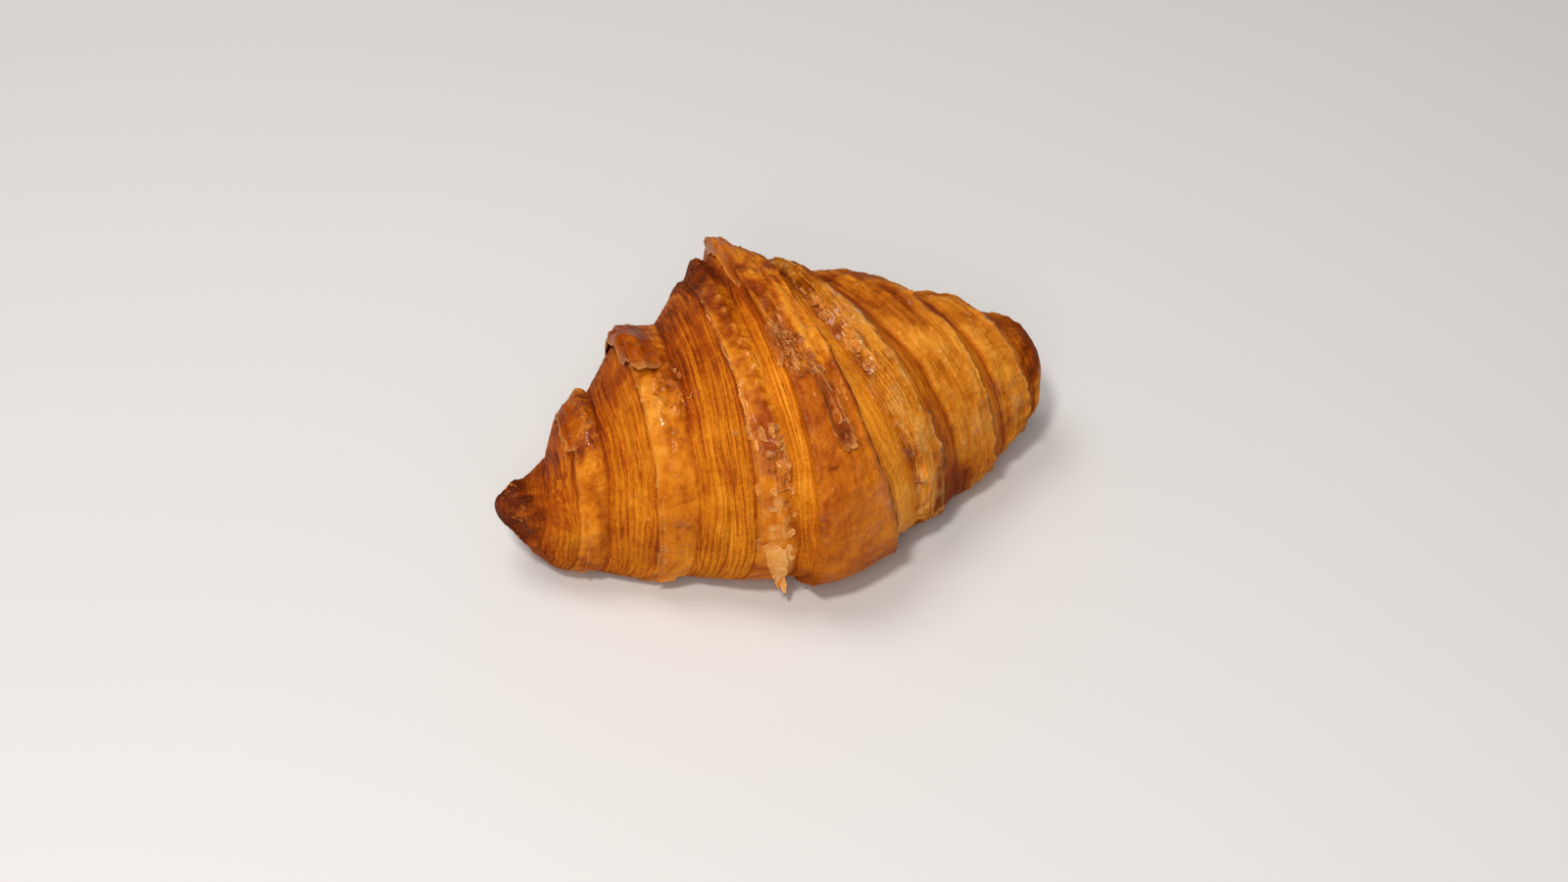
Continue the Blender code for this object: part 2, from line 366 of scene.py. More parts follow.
BLISTER_PATCHES = (
    Cluster((-37.5, -27.5), (65, 90), 34, (0.8, 1.9), (0.25, 0.65), 11),
    Cluster((-59.0, -50.5), (72, 96), 18, (0.9, 2.2), (0.25, 0.6), 12),
    Cluster((10.0, 22.0), (62, 98), 50, (0.8, 2.0), (0.35, 0.85), 13),
    Cluster((19.0, 31.0), (-12, 18), 34, (1.0, 2.4), (0.4, 0.9), 14),
    Cluster((-15.0, -9.5), (28, 48), 18, (0.7, 1.6), (0.2, 0.5), 15),
    Cluster((-3.0, 8.0), (76, 92), 20, (0.6, 1.6), (0.2, 0.5), 16),
    Cluster((11.0, 15.5), (-6, 34), 22, (0.5, 1.3), (0.15, 0.4), 17),
    Cluster((40.0, 52.0), (86, 108), 14, (0.8, 1.8), (0.15, 0.4), 18),
    Cluster((-34.0, -20.0), (150, 215), 40, (0.8, 2.2), (0.2, 0.55), 19),
    Cluster((14.0, 44.0), (140, 215), 60, (0.8, 2.4), (0.2, 0.55), 20),
    Cluster((-60.0, 68.0), (-30, 220), 300, (0.5, 1.6), (0.10, 0.40), 21),
)
CRESCENT_ANGLES = (58.0, 103.0, 5.6)   # start, stop and step
CRESCENT_PLACE = -10.2
CRESCENT_SEED = 5
# single pits, and the bump on top of the knob
PLACED_DOMES = (
    Dome(-38.0, 15.0, 0.9, 0.7, -0.6), Dome(-35.5, 13.0, 0.8, 0.6, -0.5),
    Dome(0.5, 34.0, 1.6, 0.7, -0.8), Dome(0.0, 97.0, 1.7, 2.2, -1.1),
    Dome(-30.6, 66.0, 2.4, 0.8, -0.9), Dome(-35.0, 27.0, 2.4, 0.5, -0.35),
    Dome(-16.0, 82.0, 0.6, 5.0, -0.8), Dome(-60.6, 20.0, 0.7, 1.6, -0.6),
    Dome(-12.5, 40.0, 2.2, 2.6, -0.6), Dome(21.0, 74.0, 1.0, 2.6, -0.7),
    Dome(9.6, 46.0, 1.2, 1.2, -0.6), Dome(14.0, 20.0, 0.7, 3.0, -0.5),
    Dome(-28.5, 97.0, 1.6, 1.2, -0.7), Dome(-10.2, 129.0, 3.6, 3.8, 1.5),
    Dome(1.2, 84.0, 1.3, 4.2, -1.3), Dome(16.0, 82.0, 1.2, 1.6, -0.8),
    Dome(18.8, 74.0, 1.0, 2.2, -0.9), Dome(13.6, 90.0, 1.2, 1.6, -0.7),
)


class Sites:
    """Places on the roll, and where each one lies in the turns of dough."""

    def __init__(self, x, angle):
        self.x, self.angle = np.broadcast_arrays(x, angle)
        self.wound = winding(self.angle)
        y, z, middle = body_section(self.x, self.angle)
        self.radius = np.maximum(np.hypot(y, z - middle), TINY)
        self.above, self.depth = z - middle, y
        self.tip_u, self.tip_v = y + TIP_SHEAR * self.x, z - TIP_SHEAR * self.x
        self.leaned = self.x + lean(self.x) * y
        self.slim_count = turn_count(SLIM, -self.leaned, self.wound)
        self.blunt_count = turn_count(BLUNT, self.leaned, self.wound)
        self.slim = self.slim_count > self.blunt_count
        self.count = np.where(self.slim, self.slim_count, self.blunt_count)
        self.turn = np.floor(self.count)
        self.share = self.count - self.turn

    def named(self, pick):
        """A value of the half and turn that each place is on."""
        slim = np.array(pick(SLIM))
        blunt = np.array(pick(BLUNT))
        turn = np.clip(self.turn, 0, len(slim) - 1).astype(int)
        return np.where(self.slim, slim[turn], blunt[turn])

    def measure(self):
        """Distances across the turn, in metres, and the masks that follow from them."""
        self.width = self.named(lambda half: np.diff(half.lips))
        self.riser = self.named(lambda half: half.risers)
        self.from_lip = self.share * self.width
        self.above_foot = (self.riser - self.share) * self.width
        on_turn = (self.count >= 0.0) * (self.turn <= LAST_TURN)
        edge = np.where(self.slim, 0.35 * MM, 1.1 * MM)
        below_lip = ease(0.0, edge, self.from_lip)
        neck = (self.slim & (self.turn == LAST_TURN)) * ease(-75.0 * MM, -72.5 * MM, self.x)
        self.cut = np.maximum(on_turn * ease(-edge, edge, self.above_foot), neck) * below_lip
        no_lip = (self.turn >= LAST_TURN) | (self.count < -0.9)
        self.to_lip = np.where(no_lip, FAR, (1.0 - self.share) * self.width)
        self.on_crest = 1.0 - ease(0.0, 0.02, self.count)
        self.arc = self.wound / RADIAN * self.radius
        self.under = ease(238.0, 262.0, self.wound) + 1.0 - ease(-82.0, -58.0, self.wound)
        self.shown = 1.0 - np.clip(self.under, 0.0, 1.0)
        return self


def layer_ridges(sites, spacing):
    """The edges of the dough's layers on each cut: their height, tint and open grooves."""
    row = 9.0 * sites.turn + 40.0 * sites.slim
    wander = 0.55 * noise(sites.from_lip / (2.6 * MM) + row, sites.wound / 360.0 * 10.0, 31, 10)
    wander += 0.12 * noise(sites.from_lip / (1.3 * MM) + row, sites.wound / 360.0 * 40.0, 32, 40)
    layer = sites.from_lip / spacing + wander * ease(0.0, 1.2 * MM, sites.from_lip) + 0.02
    number = np.floor(layer)
    part = layer - number
    first = 37.0 * sites.turn + 150.0 * sites.slim
    row = number + first
    strength = 0.62 + 0.62 * noise(row + 0.5, sites.wound / 18.0, 33, 20)
    tint = noise(row + 0.5, sites.wound / 30.0, 34, 12)
    ridge = 1.0 - np.abs(2.0 * part - 1.0) ** 1.3
    nearest = np.round(layer)
    opened = noise(nearest + first, sites.wound / 15.0, 35, 24)
    groove = bell(layer - nearest, 0.16) * np.clip(1.8 * opened, 0.0, 1.0)
    return np.clip(ridge * strength, 0.0, 1.2), tint, groove


def dome_height(sites, domes):
    """Sum of round blisters and pits, each worked out only near its own place."""
    height = np.zeros(sites.x.shape)
    x, wound, radius = sites.x.ravel(), sites.wound.ravel(), sites.radius.ravel()
    flat = height.ravel()
    for dome in domes:
        length, width = dome.length * MM, dome.width * MM
        near = np.abs(x - dome.x * MM) < DOME_REACH * length
        near &= np.abs(wound - dome.angle) * radius < DOME_REACH * RADIAN * width
        spot = np.nonzero(near)[0]
        along = (x[spot] - dome.x * MM) / length
        around = (wound[spot] - dome.angle) / RADIAN * radius[spot] / width
        reach = along ** 2 + around ** 2
        flat[spot] += dome.rise * MM * np.exp(-reach * (0.6 + 0.6 * reach))
    return flat.reshape(sites.x.shape)


def scattered(cluster):
    draw = np.random.default_rng(cluster.seed)
    return [Dome(draw.uniform(*cluster.x), draw.uniform(*cluster.angle),
                 draw.uniform(*cluster.size), draw.uniform(*cluster.size),
                 draw.uniform(*cluster.rise)) for _ in range(cluster.count)]


def crescents():
    """A column of small curled blisters along the middle of the slim half's first turn."""
    draw = np.random.default_rng(CRESCENT_SEED)
    domes = []
    for angle in np.arange(*CRESCENT_ANGLES):
        place = CRESCENT_PLACE + draw.uniform(-0.9, 0.9)
        angle = angle + draw.uniform(-1.4, 1.4)
        rise = draw.uniform(0.6, 1.0)
        domes.append(Dome(place, angle, draw.uniform(1.2, 2.0), draw.uniform(0.8, 1.3), rise))
        domes.append(Dome(place + 0.6, angle + 1.8, 1.2, 0.7, -0.4 * rise))
    return domes


def lip_tears(sites):
    """How far each stretch of a lip is torn, from -1 to 1."""
    return rough_noise(sites.turn * 3.1 + 7.0 * sites.slim, sites.wound / 7.5, 42, 3, 48)


def sideways(sites):
    """How far the lips stray from a clean line, along x."""
    stray = 0.55 * MM * rough_noise(sites.x / (7.0 * MM), sites.wound / 22.5, 41, 3, 16)
    away = np.where(sites.slim, -1.0, 1.0)
    lip = np.exp(-np.maximum(sites.to_lip, 0.0) / (0.7 * MM)) * (sites.turn < LAST_TURN)
    overhang = (0.45 + 0.9 * lip_tears(sites)) * MM * lip
    return stray + away * overhang * (1.0 - sites.under)


def torn_crest(sites):
    """1 where the end of the crest is torn open, above the smooth tab."""
    x, below = sites.x / MM, 86.0 - sites.wound
    left = ease(-0.5, 0.5, x + 3.5 - 0.12 * below)
    right = ease(-0.5, 0.5, 1.0 + 0.27 * below - x)
    return left * right * inside(sites.wound, 66.0, 88.0, 1.5)


def raised_forms(sites):
    """Height of the crest, the tab, the knob and the lobe, less the torn end of the crest."""
    line = CREST_END - 8.0 + 8.0 * np.maximum(-1.0 - sites.x / MM, 0.0)
    line += 3.0 * rough_noise(sites.x / (2.2 * MM), sites.wound / 22.5, 43, 3, 16)
    sites.crest = ease(-1.2, 1.2, sites.wound - line)
    sites.tab = sites.on_crest * (1.0 - sites.crest)
    height = sites.on_crest * CREST_RISE * sites.crest * (1.0 - ease(*CREST_FADE, sites.wound))
    height += TAB_RISE * sites.tab * ease(*TAB_START, sites.wound)
    height += KNOB_RISE * over(KNOB_SPAN, sites.x) * bell(sites.wound - KNOB_ANGLE, KNOB_SPREAD)
    flap = bell(sites.x - FLAP_PLACE, FLAP_LENGTH) * bell(sites.wound - FLAP_ANGLE, FLAP_SPREAD)
    height += FLAP_RISE * flap
    rough = rough_noise(sites.x / (1.4 * MM), sites.wound / 5.0, 44, 2, 72)
    return height - 0.8 * MM * torn_crest(sites) * (0.6 + rough)


def cut_relief(sites, looks):
    """Height of the layers' edges on the cuts."""
    spacing = looks.layer_spacing * np.where(sites.slim, 1.0, 0.92)
    ridge, sites.tint, groove = layer_ridges(sites, spacing)
    smooth = inside(sites.x / MM, -10.5, -3.0, 1.5) * ease(52.0, 70.0, sites.wound)
    sites.ridge = blend(ridge, RIDGE_MIDDLE, 0.75 * smooth)
    sites.groove = groove * (1.0 - smooth)
    depth = looks.layer_depth * np.where(sites.slim, 1.0, 0.6)
    return sites.shown * sites.cut * (depth * (sites.ridge - RIDGE_MIDDLE) - 0.2 * MM * sites.groove)


def skin_relief(sites):
    """Height of the folds, lumps, cords and crinkles of the glazed skin."""
    along = sites.wound / 360.0
    sites.skin = (1.0 - sites.cut) * sites.shown
    sites.calm = 1.0 - 0.75 * sites.tab
    sites.folds = rough_noise(sites.from_lip / (3.2 * MM) + 5.0 * sites.turn, along * 24.0, 51, 3, 24)
    sites.lumps = rough_noise(sites.x / (5.0 * MM), along * 48.0, 52, 3, 48)
    fine = rough_noise(sites.x / (1.3 * MM), along * 180.0, 53, 2, 180)
    swell = rough_noise(sites.x / (11.0 * MM), along * 20.0, 54, 2, 20)

    bends = 0.8 * noise(sites.x / (6.0 * MM), along * 24.0, 56, 24)
    across = sites.from_lip / (1.5 * MM) + 3.0 * sites.turn + bends
    cords = 1.0 - 2.2 * np.abs(noise(across, along * 15.0, 57, 15))
    corded = (~sites.slim) * np.where(sites.turn < 1, 1.0, 0.5) * ease(0.015, 0.10, sites.count)
    sites.cords = cords * corded
    sites.cord_tops = sites.skin * ease(0.5, 0.9, cords) * corded

    crinkles = rough_noise(sites.x / (2.6 * MM) + 0.6 * sites.lumps, along * 84.0, 58, 2, 84)
    crinkled = 1.0 - 2.4 * np.abs(crinkles)
    crinkling = blend(0.30, 1.0, ease(48.0, 74.0, sites.wound)) * np.clip(0.55 + 0.9 * sites.folds, 0.15, 1.0)
    sites.crinkled = sites.skin * crinkling * crinkled

    folded = np.where(sites.slim, 0.35, 0.55)
    relief = folded * sites.folds + 0.42 * sites.lumps + 0.12 * fine + 0.30 * crinkling * crinkled
    return MM * (sites.skin * (0.42 * sites.cords + sites.calm * relief) + 0.35 * swell)


def blister_relief(sites):
    """Height of the lifted lips, the blisters, the curls and the pits."""
    lip = bell(sites.to_lip, 0.9 * MM) * (sites.turn < LAST_TURN)
    sites.lip = lip * sites.shown
    curls = dome_height(sites, crescents())
    domes = [dome for cluster in BLISTER_PATCHES for dome in scattered(cluster)]
    blisters = (dome_height(sites, domes) + curls) * (1.0 - 0.85 * sites.cut) * sites.shown
    placed = dome_height(sites, PLACED_DOMES)
    # the curls, blisters and pits are kept for the colour: painted highlights on the first two, painted shade
    # in the pits
    sites.curls, sites.blister, sites.hole = curls / MM, blisters / MM, -placed / MM
    return sites.lip * (0.45 + 0.6 * lip_tears(sites)) * MM + blisters + placed


def tip_noise(sites, size, seed, octaves=3):
    """Random patches, of a size in mm, that run evenly over the tips."""
    return rough_noise(sites.tip_u / (size * MM), sites.tip_v / (size * MM), seed, octaves)


def tip_relief(sites, height):
    """The same height with its steps fading out at the tips, their knobbly skin and the slim neck."""
    past = 1.0 - np.abs(sites.x) / HALF_LENGTH
    tip = (1.0 - ease(0.07, 0.15, past)) * ease(0.0, 0.03, past)
    knobbly, gritty = tip_noise(sites, 3.4, 55), tip_noise(sites, 1.4, 59, 2)
    height = height * blend(STEP_AT_TIP, 1.0, ease(0.0, TIP_FADE, past))
    height += tip * MM * (1.3 * knobbly + 0.35 * gritty)
    neck = blend(-NECK_SWELL, NECK_DEPTH, over(NECK_BEHIND, sites.wound))
    return height - neck * bell(sites.x - NECK_PLACE, NECK_LENGTH)


def surface_masks(sites):
    """Where the skin is matt, shiny, rust brown, crinkly or streaked."""
    slim, turn, wound = sites.slim, sites.turn, sites.wound
    low = 1.0 - ease(-30.0, 24.0, wound)
    matt = sites.under + 0.9 * low * ease(20.0 * MM, 34.0 * MM, sites.x) + 0.85 * low
    matt += 0.5 * inside(wound, 108.0, 170.0, 14.0) + 0.7 * ease(68.0 * MM, 73.0 * MM, sites.x)
    sites.matt = np.clip(matt, 0.0, 1.0)
    shine = ease(0.12, 0.5, sites.blister) + 0.7 * sites.cord_tops + 0.15 * sites.lip
    sites.shine = np.clip(shine, 0.0, 1.0) * (1.0 - sites.matt)

    grooved = (~slim) * (turn > 0) * (turn <= LAST_TURN) * sites.shown
    foot = bell(sites.above_foot, 2.2 * MM)
    sites.rust = np.maximum(sites.cut, 0.6 * foot) * grooved + 0.45 * sites.tab
    loose = sites.skin * sites.calm
    topmost = blend(0.1, 1.0, ease(50.0, 76.0, wound))
    sites.crinkly = loose * np.where(slim, topmost, np.where(turn < 1, 0.8, 0.3))
    streaked = np.where(slim, 0.12, np.where(turn < 1, 1.0, 0.55)) * (sites.count > 0.0)
    sites.veined = loose * streaked * ease(0.03, 0.10, 1.0 - np.abs(sites.x) / HALF_LENGTH)


def crust_relief(sites, looks):
    """Height of everything on the smooth body, and the masks that colour it."""
    steps = np.minimum(step_height(SLIM, sites.slim_count), step_height(BLUNT, sites.blunt_count))
    height = step_strength(sites.wound) * steps + raised_forms(sites)
    height += cut_relief(sites, looks) + skin_relief(sites) + blister_relief(sites)
    surface_masks(sites)
    return tip_relief(sites, height)


def crust_points(sites, height, shift):
    """Points of the finished crust, and the direction that points outward there."""
    x = np.clip(sites.x + shift, -HALF_LENGTH, HALF_LENGTH)
    y, z, middle = body_section(x, sites.angle)
    outward = np.maximum(np.hypot(y, z - middle), TINY)
    grow = height * np.minimum(outward / CORE, 1.0) / outward
    nose = NOSE * ease(0.045, 0.0, 1.0 + x / HALF_LENGTH)
    points = np.stack([x - nose, y + y * grow, settle(z + (z - middle) * grow)], axis=-1)
    out = np.stack([np.zeros_like(x), y / outward, (z - middle) / outward], axis=-1)
    return points, out


def half_counts(half):
    """The turn counts of one half's rings, from its first edge out to the last riser."""
    counts = []
    widths = np.diff(half.lips)
    for turn, (riser, width) in enumerate(zip(half.risers, widths)):
        steps = round(riser * width / RISER_SPACING)
        shares = [0.0] + list(np.linspace(LIP_SHARE, riser, steps))
        if turn < len(half.risers) - 1:
            steps = round((1.0 - riser) * width / BAND_SPACING)
            shares += list(np.linspace(riser, 1.0, steps + 1)[1:-1])
        counts += [turn + share for share in shares]
    return np.array(counts)


def unwound(wound):
    """The winding angle, eased back by one turn underneath so that the rings close."""
    slip = (wound - UNWIND_START) % 360.0
    back = UNWIND_START - (360.0 - UNWIND_SPAN) * ease(0.0, UNWIND_SPAN, slip)
    return np.where(slip < UNWIND_SPAN, back, wound)


def ring_places(angle):
    """x of every ring from the slim tip to the blunt tip, at one spoke's angle."""
    wound = unwound(winding(angle))
    slim = -turn_reach(SLIM, half_counts(SLIM), wound)
    blunt = turn_reach(BLUNT, half_counts(BLUNT), wound)
    slim_end, blunt_end = (np.sin(np.arange(1, rings + 1) / rings * math.pi / 2.0)
                           for rings in (SLIM_TIP_RINGS, BLUNT_TIP_RINGS))
    crest = blend(slim[0], blunt[0], np.arange(1, CREST_RINGS) / CREST_RINGS)
    reach = np.concatenate([
        blend(slim[-1], -HALF_LENGTH, slim_end)[::-1], slim[::-1], crest,
        blunt, blend(blunt[-1], HALF_LENGTH, blunt_end)])
    x = reach
    for _ in range(LEAN_ROUNDS):
        x = reach - lean(x) * body_section(x, angle)[0]
    return x


def spoke_angles():
    """Angles of the grid lines: close on the sides and top, wide apart underneath."""
    shown = np.arange(UNDER_STOP - 360.0, BEHIND_START, SPOKE_STEP)
    behind = np.linspace(BEHIND_START, UNDER_START, SPOKES_BEHIND, endpoint=False)
    under = np.linspace(UNDER_START, UNDER_STOP, SPOKES_UNDER, endpoint=False)
    return np.concatenate([shown, behind, under])


# ---------------------------------------------------------------- colour masks

# Parts of the crust baked darker than the rest, or paler where the amount is negative
SKIN_PATCHES = (
    Patch(-0.15, (12.0, 62.0, 4.0), (4.0, 56.0, 10.0)),
    Patch(-0.05, (12.0, 70.0, 4.0), (-30.0, 120.0, 20.0)),
    Patch(0.10, (-62.0, -55.0, 1.5), (-20.0, 60.0, 10.0)),
)
CUT_PATCHES = (
    Patch(-0.16, (9.0, 24.0, 2.0), (-5.0, 100.0, 12.0)),
    Patch(-0.08, (-40.0, -19.0, 2.0), (-20.0, 60.0, 10.0)),
)
PATCHES = (
    # the smooth strip beside the tab
    Patch(-0.26, (-9.4, -4.2, 1.2), (20.0, 108.0, 12.0)),
    # the slim half, from its tip inwards
    Patch(-0.06, (-70.0, -62.0, 2.0), (-20.0, 60.0, 10.0)),
    Patch(0.12, (-60.0, -52.0, 2.0), (66.0, 150.0, 8.0)),
    Patch(0.08, (-60.0, -50.0, 2.0), (70.0, 112.0, 6.0)),
    Patch(0.06, (-38.0, -28.0, 2.0), (90.0, 150.0, 5.0)),
    Patch(0.09, (-38.0, -28.0, 2.0), (62.0, 112.0, 6.0)),
    Patch(0.08, (-17.0, -11.0, 1.5), (44.0, 80.0, 6.0)),
    Patch(0.06, (-16.5, -4.0, 1.5), (30.0, 120.0, 10.0)),
    Patch(0.16, (-14.5, -9.0, 1.5), (46.0, 112.0, 8.0)),
    # the blunt half, out to its tip
    Patch(-0.24, (20.0, 30.0, 2.0), (-14.0, 15.0, 5.0)),
    # painted shadow low on the front of the blunt half, next to the table, partly a darker groove
    Patch(0.38, (33.0, 50.0, 5.0), (-40.0, 4.0, 7.0)),
    Patch(0.18, (35.4, 41.4, 1.5), (2.0, 48.0, 6.0), lean=0.12),
    Patch(0.12, (35.0, 42.0, 2.0), (76.0, 102.0, 6.0)),
    Patch(0.14, (44.0, 51.0, 2.5), (84.0, 110.0, 6.0)),
)
# Where the skin has flaked off, and how much of it
TORN_PATCHES = (
    Patch(0.55, (-18.0, -11.0, 1.5), (-18.0, 27.0, 6.0)),
    Patch(0.30, (-3.5, 7.5, 1.0), (74.0, 92.0, 3.0)),
    Patch(0.30, (3.0, 7.0, 1.0), (47.0, 71.0, 4.0)),
    Patch(0.30, (12.0, 21.0, 2.0), (66.0, 97.0, 4.0)),
    Patch(0.60, (19.0, 31.0, 2.0), (-12.0, 14.0, 5.0)),
    Patch(0.45, (28.0, 38.0, 2.5), (-10.0, 62.0, 8.0), lean=0.2),
)
KNOB_PATCH = Patch(0.9, (-15.5, -5.0, 1.8), (116.0, 148.0, 6.0))
# painted shadow on the crust under the long flake on the front of the crest
UNDER_FLAKE_SHADE = Patch(1.0, (8.8, 12.8, 0.5), (40.0, 63.0, 2.0), lean=0.10)


def patched(patches, sites):
    return sum(patch.amount * patch.share(sites) for patch in patches)


def mottling(sites, size, cells, seed, ends):
    """Random patches, of a size in mm, along the turns and on over both ends."""
    turned = rough_noise(sites.x / (size * MM), sites.wound / 360.0 * cells, seed, 3, cells)
    return blend(turned, tip_noise(sites, size, seed + 4), ends)


def skin_tone_and_shade(sites, ends):
    """How much darker the skin is: painted light from its folds, lumps, cords and crinkles, lighter on their
    crests and darker between them, and patches by place.
    """
    skin, slim = 1.0 - sites.cut, sites.slim
    x, wound = sites.x / MM, sites.wound
    # painted light: the raised folds and lumps lighter, the creases between them darker
    fold_shading = np.where(slim, 0.16, 0.22) * sites.folds + 0.14 * sites.lumps
    bake = -skin * fold_shading * (1.0 - 0.7 * sites.tab) * (1.0 - ends)
    # painted highlights on the crests of the cords and the crinkles
    bake -= skin * np.where(slim, 0.10, 0.16) * sites.cords + 0.14 * sites.crinkled
    bake += 0.03 * skin * slim * inside(wound, -30.0, 66.0, 10.0) * (x < -3.0)
    return bake + skin * patched(SKIN_PATCHES, sites)


def cut_tone_and_shade(sites):
    """How much darker the cuts are: painted shade under each lip, in open grooves and towards the foot, with
    tone that differs by layer and patch; the painted shade along each foot reaches the skin beside it too.
    """
    slim = sites.slim
    # painted shade: a dark band just under each lip
    under_lip_shade = bell(sites.from_lip, 0.6 * MM) * (sites.count > 0.02)
    deep_share = sites.above_foot / (0.45 * sites.riser * sites.width + 1e-9)
    foot = np.clip(1.0 - deep_share, 0.0, 1.0)
    bake = 0.05 * slim + 0.15 * sites.groove + np.where(slim, 0.34, 0.12) * under_lip_shade
    bake = sites.cut * (bake + 0.10 * foot ** 2 + 0.10 * sites.tint - 0.02 + patched(CUT_PATCHES, sites))
    # painted shade along the foot of each riser, where it meets the next turn
    foot_shade = bell(sites.above_foot, 0.9 * MM) * (sites.count > 0.0)
    return bake + 0.20 * foot_shade * np.where(slim, 0.5, 1.0)


def burnt_ends(sites, bake):
    """The same darkness, bake and painted shade together, with both tips singed, and how burnt each place is.
    """
    x, above = sites.x / MM, sites.above / MM
    wide, close = tip_noise(sites, 9.0, 63), tip_noise(sites, 3.0, 64)
    slim_tip = ease(-71.8, -78.4, x - 4.0 * ease(3.5, 7.0, above) + 3.4 * wide + 3.0 * close)
    singed = ease(-64.0, -72.0, x - 4.0 * ease(4.0, 8.0, above) + 3.0 * wide)
    blunt_tip = ease(70.0, 76.0, x + 2.0 * ease(4.0, 8.0, above) + 3.0 * wide + 2.4 * close)
    blunt_tip *= ease(-2.0, 5.0, above + 0.3 * sites.depth / MM + 3.0 * wide + 2.6 * close)
    bake = blend(bake, 0.66, 0.7 * singed * (1.0 - slim_tip))
    bake = blend(bake, 1.0, 0.96 * slim_tip)
    bake = blend(bake, 0.80, 0.92 * blunt_tip)
    return bake, np.maximum(slim_tip, 0.24 * blunt_tip)


def browning_and_shade(sites):
    """How dark each place is, 0 pale gold to 1 nearly black, from its bake and from painted shade and
    highlights, and how burnt it is.
    """
    x, wound = sites.x / MM, sites.wound
    ends = ease(0.10, 0.03, 1.0 - np.abs(sites.x) / HALF_LENGTH)
    patches = mottling(sites, 9.0, 24, 61, ends)
    blotches = mottling(sites, 3.0, 72, 62, ends)
    crest = sites.on_crest * sites.crest
    # painted shade on the steep wall just below the blunt half's first lip, next to the crest
    wall_shade = (~sites.slim) * ease(-0.01, 0.0, sites.count) * (1.0 - ease(0.02, 0.10, sites.count))

    bake = 0.38 + (0.13 * patches + 0.12 * blotches) * (1.0 - 0.55 * sites.cut)
    # darker on top and behind, partly a deeper bake and partly painted shade where less light falls, and a
    # little darker low on the front
    bake += 0.20 * inside(wound, 88.0, 250.0, 20.0) + 0.06 * (1.0 - ease(-70.0, -25.0, wound))
    bake += skin_tone_and_shade(sites, ends) + cut_tone_and_shade(sites) + patched(PATCHES, sites)
    bake += 0.24 * sites.tab * blend(0.6, 1.0, ease(40.0, 68.0, wound)) + 0.20 * wall_shade
    bake += crest * (0.20 * blotches + 0.06 * ease(88.0, 98.0, wound))
    # painted shade in the pits, and painted highlights on the blister tops
    bake += 0.16 * sites.hole - 0.06 * np.clip(sites.blister, 0.0, 0.6)

    bake, burnt = burnt_ends(sites, bake)
    knob = KNOB_PATCH.share(sites)
    bake = blend(bake, 0.98, KNOB_PATCH.amount * knob)
    # painted shade in the torn hollow at the end of the crest and under the long flake, partly the darker
    # brown of the torn crumb
    hollow_shade = np.maximum(torn_crest(sites), UNDER_FLAKE_SHADE.share(sites))
    bake = blend(bake, 0.76 + 0.5 * blotches, 0.85 * hollow_shade)
    return np.clip(bake, 0.0, 1.0), np.maximum(burnt, 0.8 * knob)


def pale_tears_and_cord_highlights(sites):
    """Where the skin has flaked off and the pale dough beneath shows, and the crests of the cords painted
    pale, partly as pale raised strands and partly as painted highlight.
    """
    ragged = rough_noise(sites.x / (1.6 * MM), sites.wound / 360.0 * 120.0, 71, 3, 120)
    torn = [patch.amount * patch.share(sites) for patch in TORN_PATCHES]
    # the cords' crests: partly pale raised strands, partly painted highlight
    wanted = np.maximum.reduce([0.9 * ease(0.6, 1.0, sites.cords), *torn])
    return ease(0.32, 0.75, wanted + 0.55 * ragged * (wanted > 0.02)) * wanted


# ---------------------------------------------------------------- meshes

def mesh_object(name, points, faces, masks, uv=None):
    mesh = bpy.data.meshes.new(name)
    mesh.from_pydata(points.tolist(), [], faces)
    for mask, values in masks.items():
        if values.ndim == 1:
            mesh.attributes.new(mask, "FLOAT", "POINT").data.foreach_set("value", values)
        else:
            layer = mesh.attributes.new(mask, "FLOAT_VECTOR", "POINT")
            layer.data.foreach_set("vector", values.ravel())
    if uv is not None:
        layer = mesh.uv_layers.new(name="OFBake")
        layer.data.foreach_set("uv", np.asarray(uv, dtype=np.float32).ravel())
    mesh.shade_smooth()
    mesh.update()
    if mesh.validate():
        raise RuntimeError(f"{name} has broken faces")
    piece = bpy.data.objects.new(name, mesh)
    bpy.context.scene.collection.objects.link(piece)
    return piece


def crust_masks(sites, height):
    """What the crust's material reads at each place."""
    def clipped(values):
        return np.clip(values, 0.0, 1.0)

    bake, burnt = browning_and_shade(sites)
    away = np.where(sites.slim, -1.0, 1.0)
    across = (away * sites.leaned + sites.width * sites.wound / 360.0 + height) / MM
    return {
        "turned": np.stack([across, sites.arc / MM, 10.0 * sites.turn], axis=-1),
        "cut": sites.cut * sites.shown * np.where(sites.slim, 1.0, 0.6),
        "pale": pale_tears_and_cord_highlights(sites) * (1.0 - 0.8 * sites.cut),
        "rust": clipped(sites.rust * (1.0 - burnt)),
        "lip": sites.lip * (sites.count > 0.3),
        "bake": bake, "burnt": burnt, "ridge": sites.ridge, "tab": sites.tab,
        "matt": sites.matt, "shine": sites.shine, "veined": sites.veined, "crinkly": sites.crinkly,
        "under": clipped(sites.under), "curls": clipped(sites.curls), "hole": clipped(sites.hole),
    }


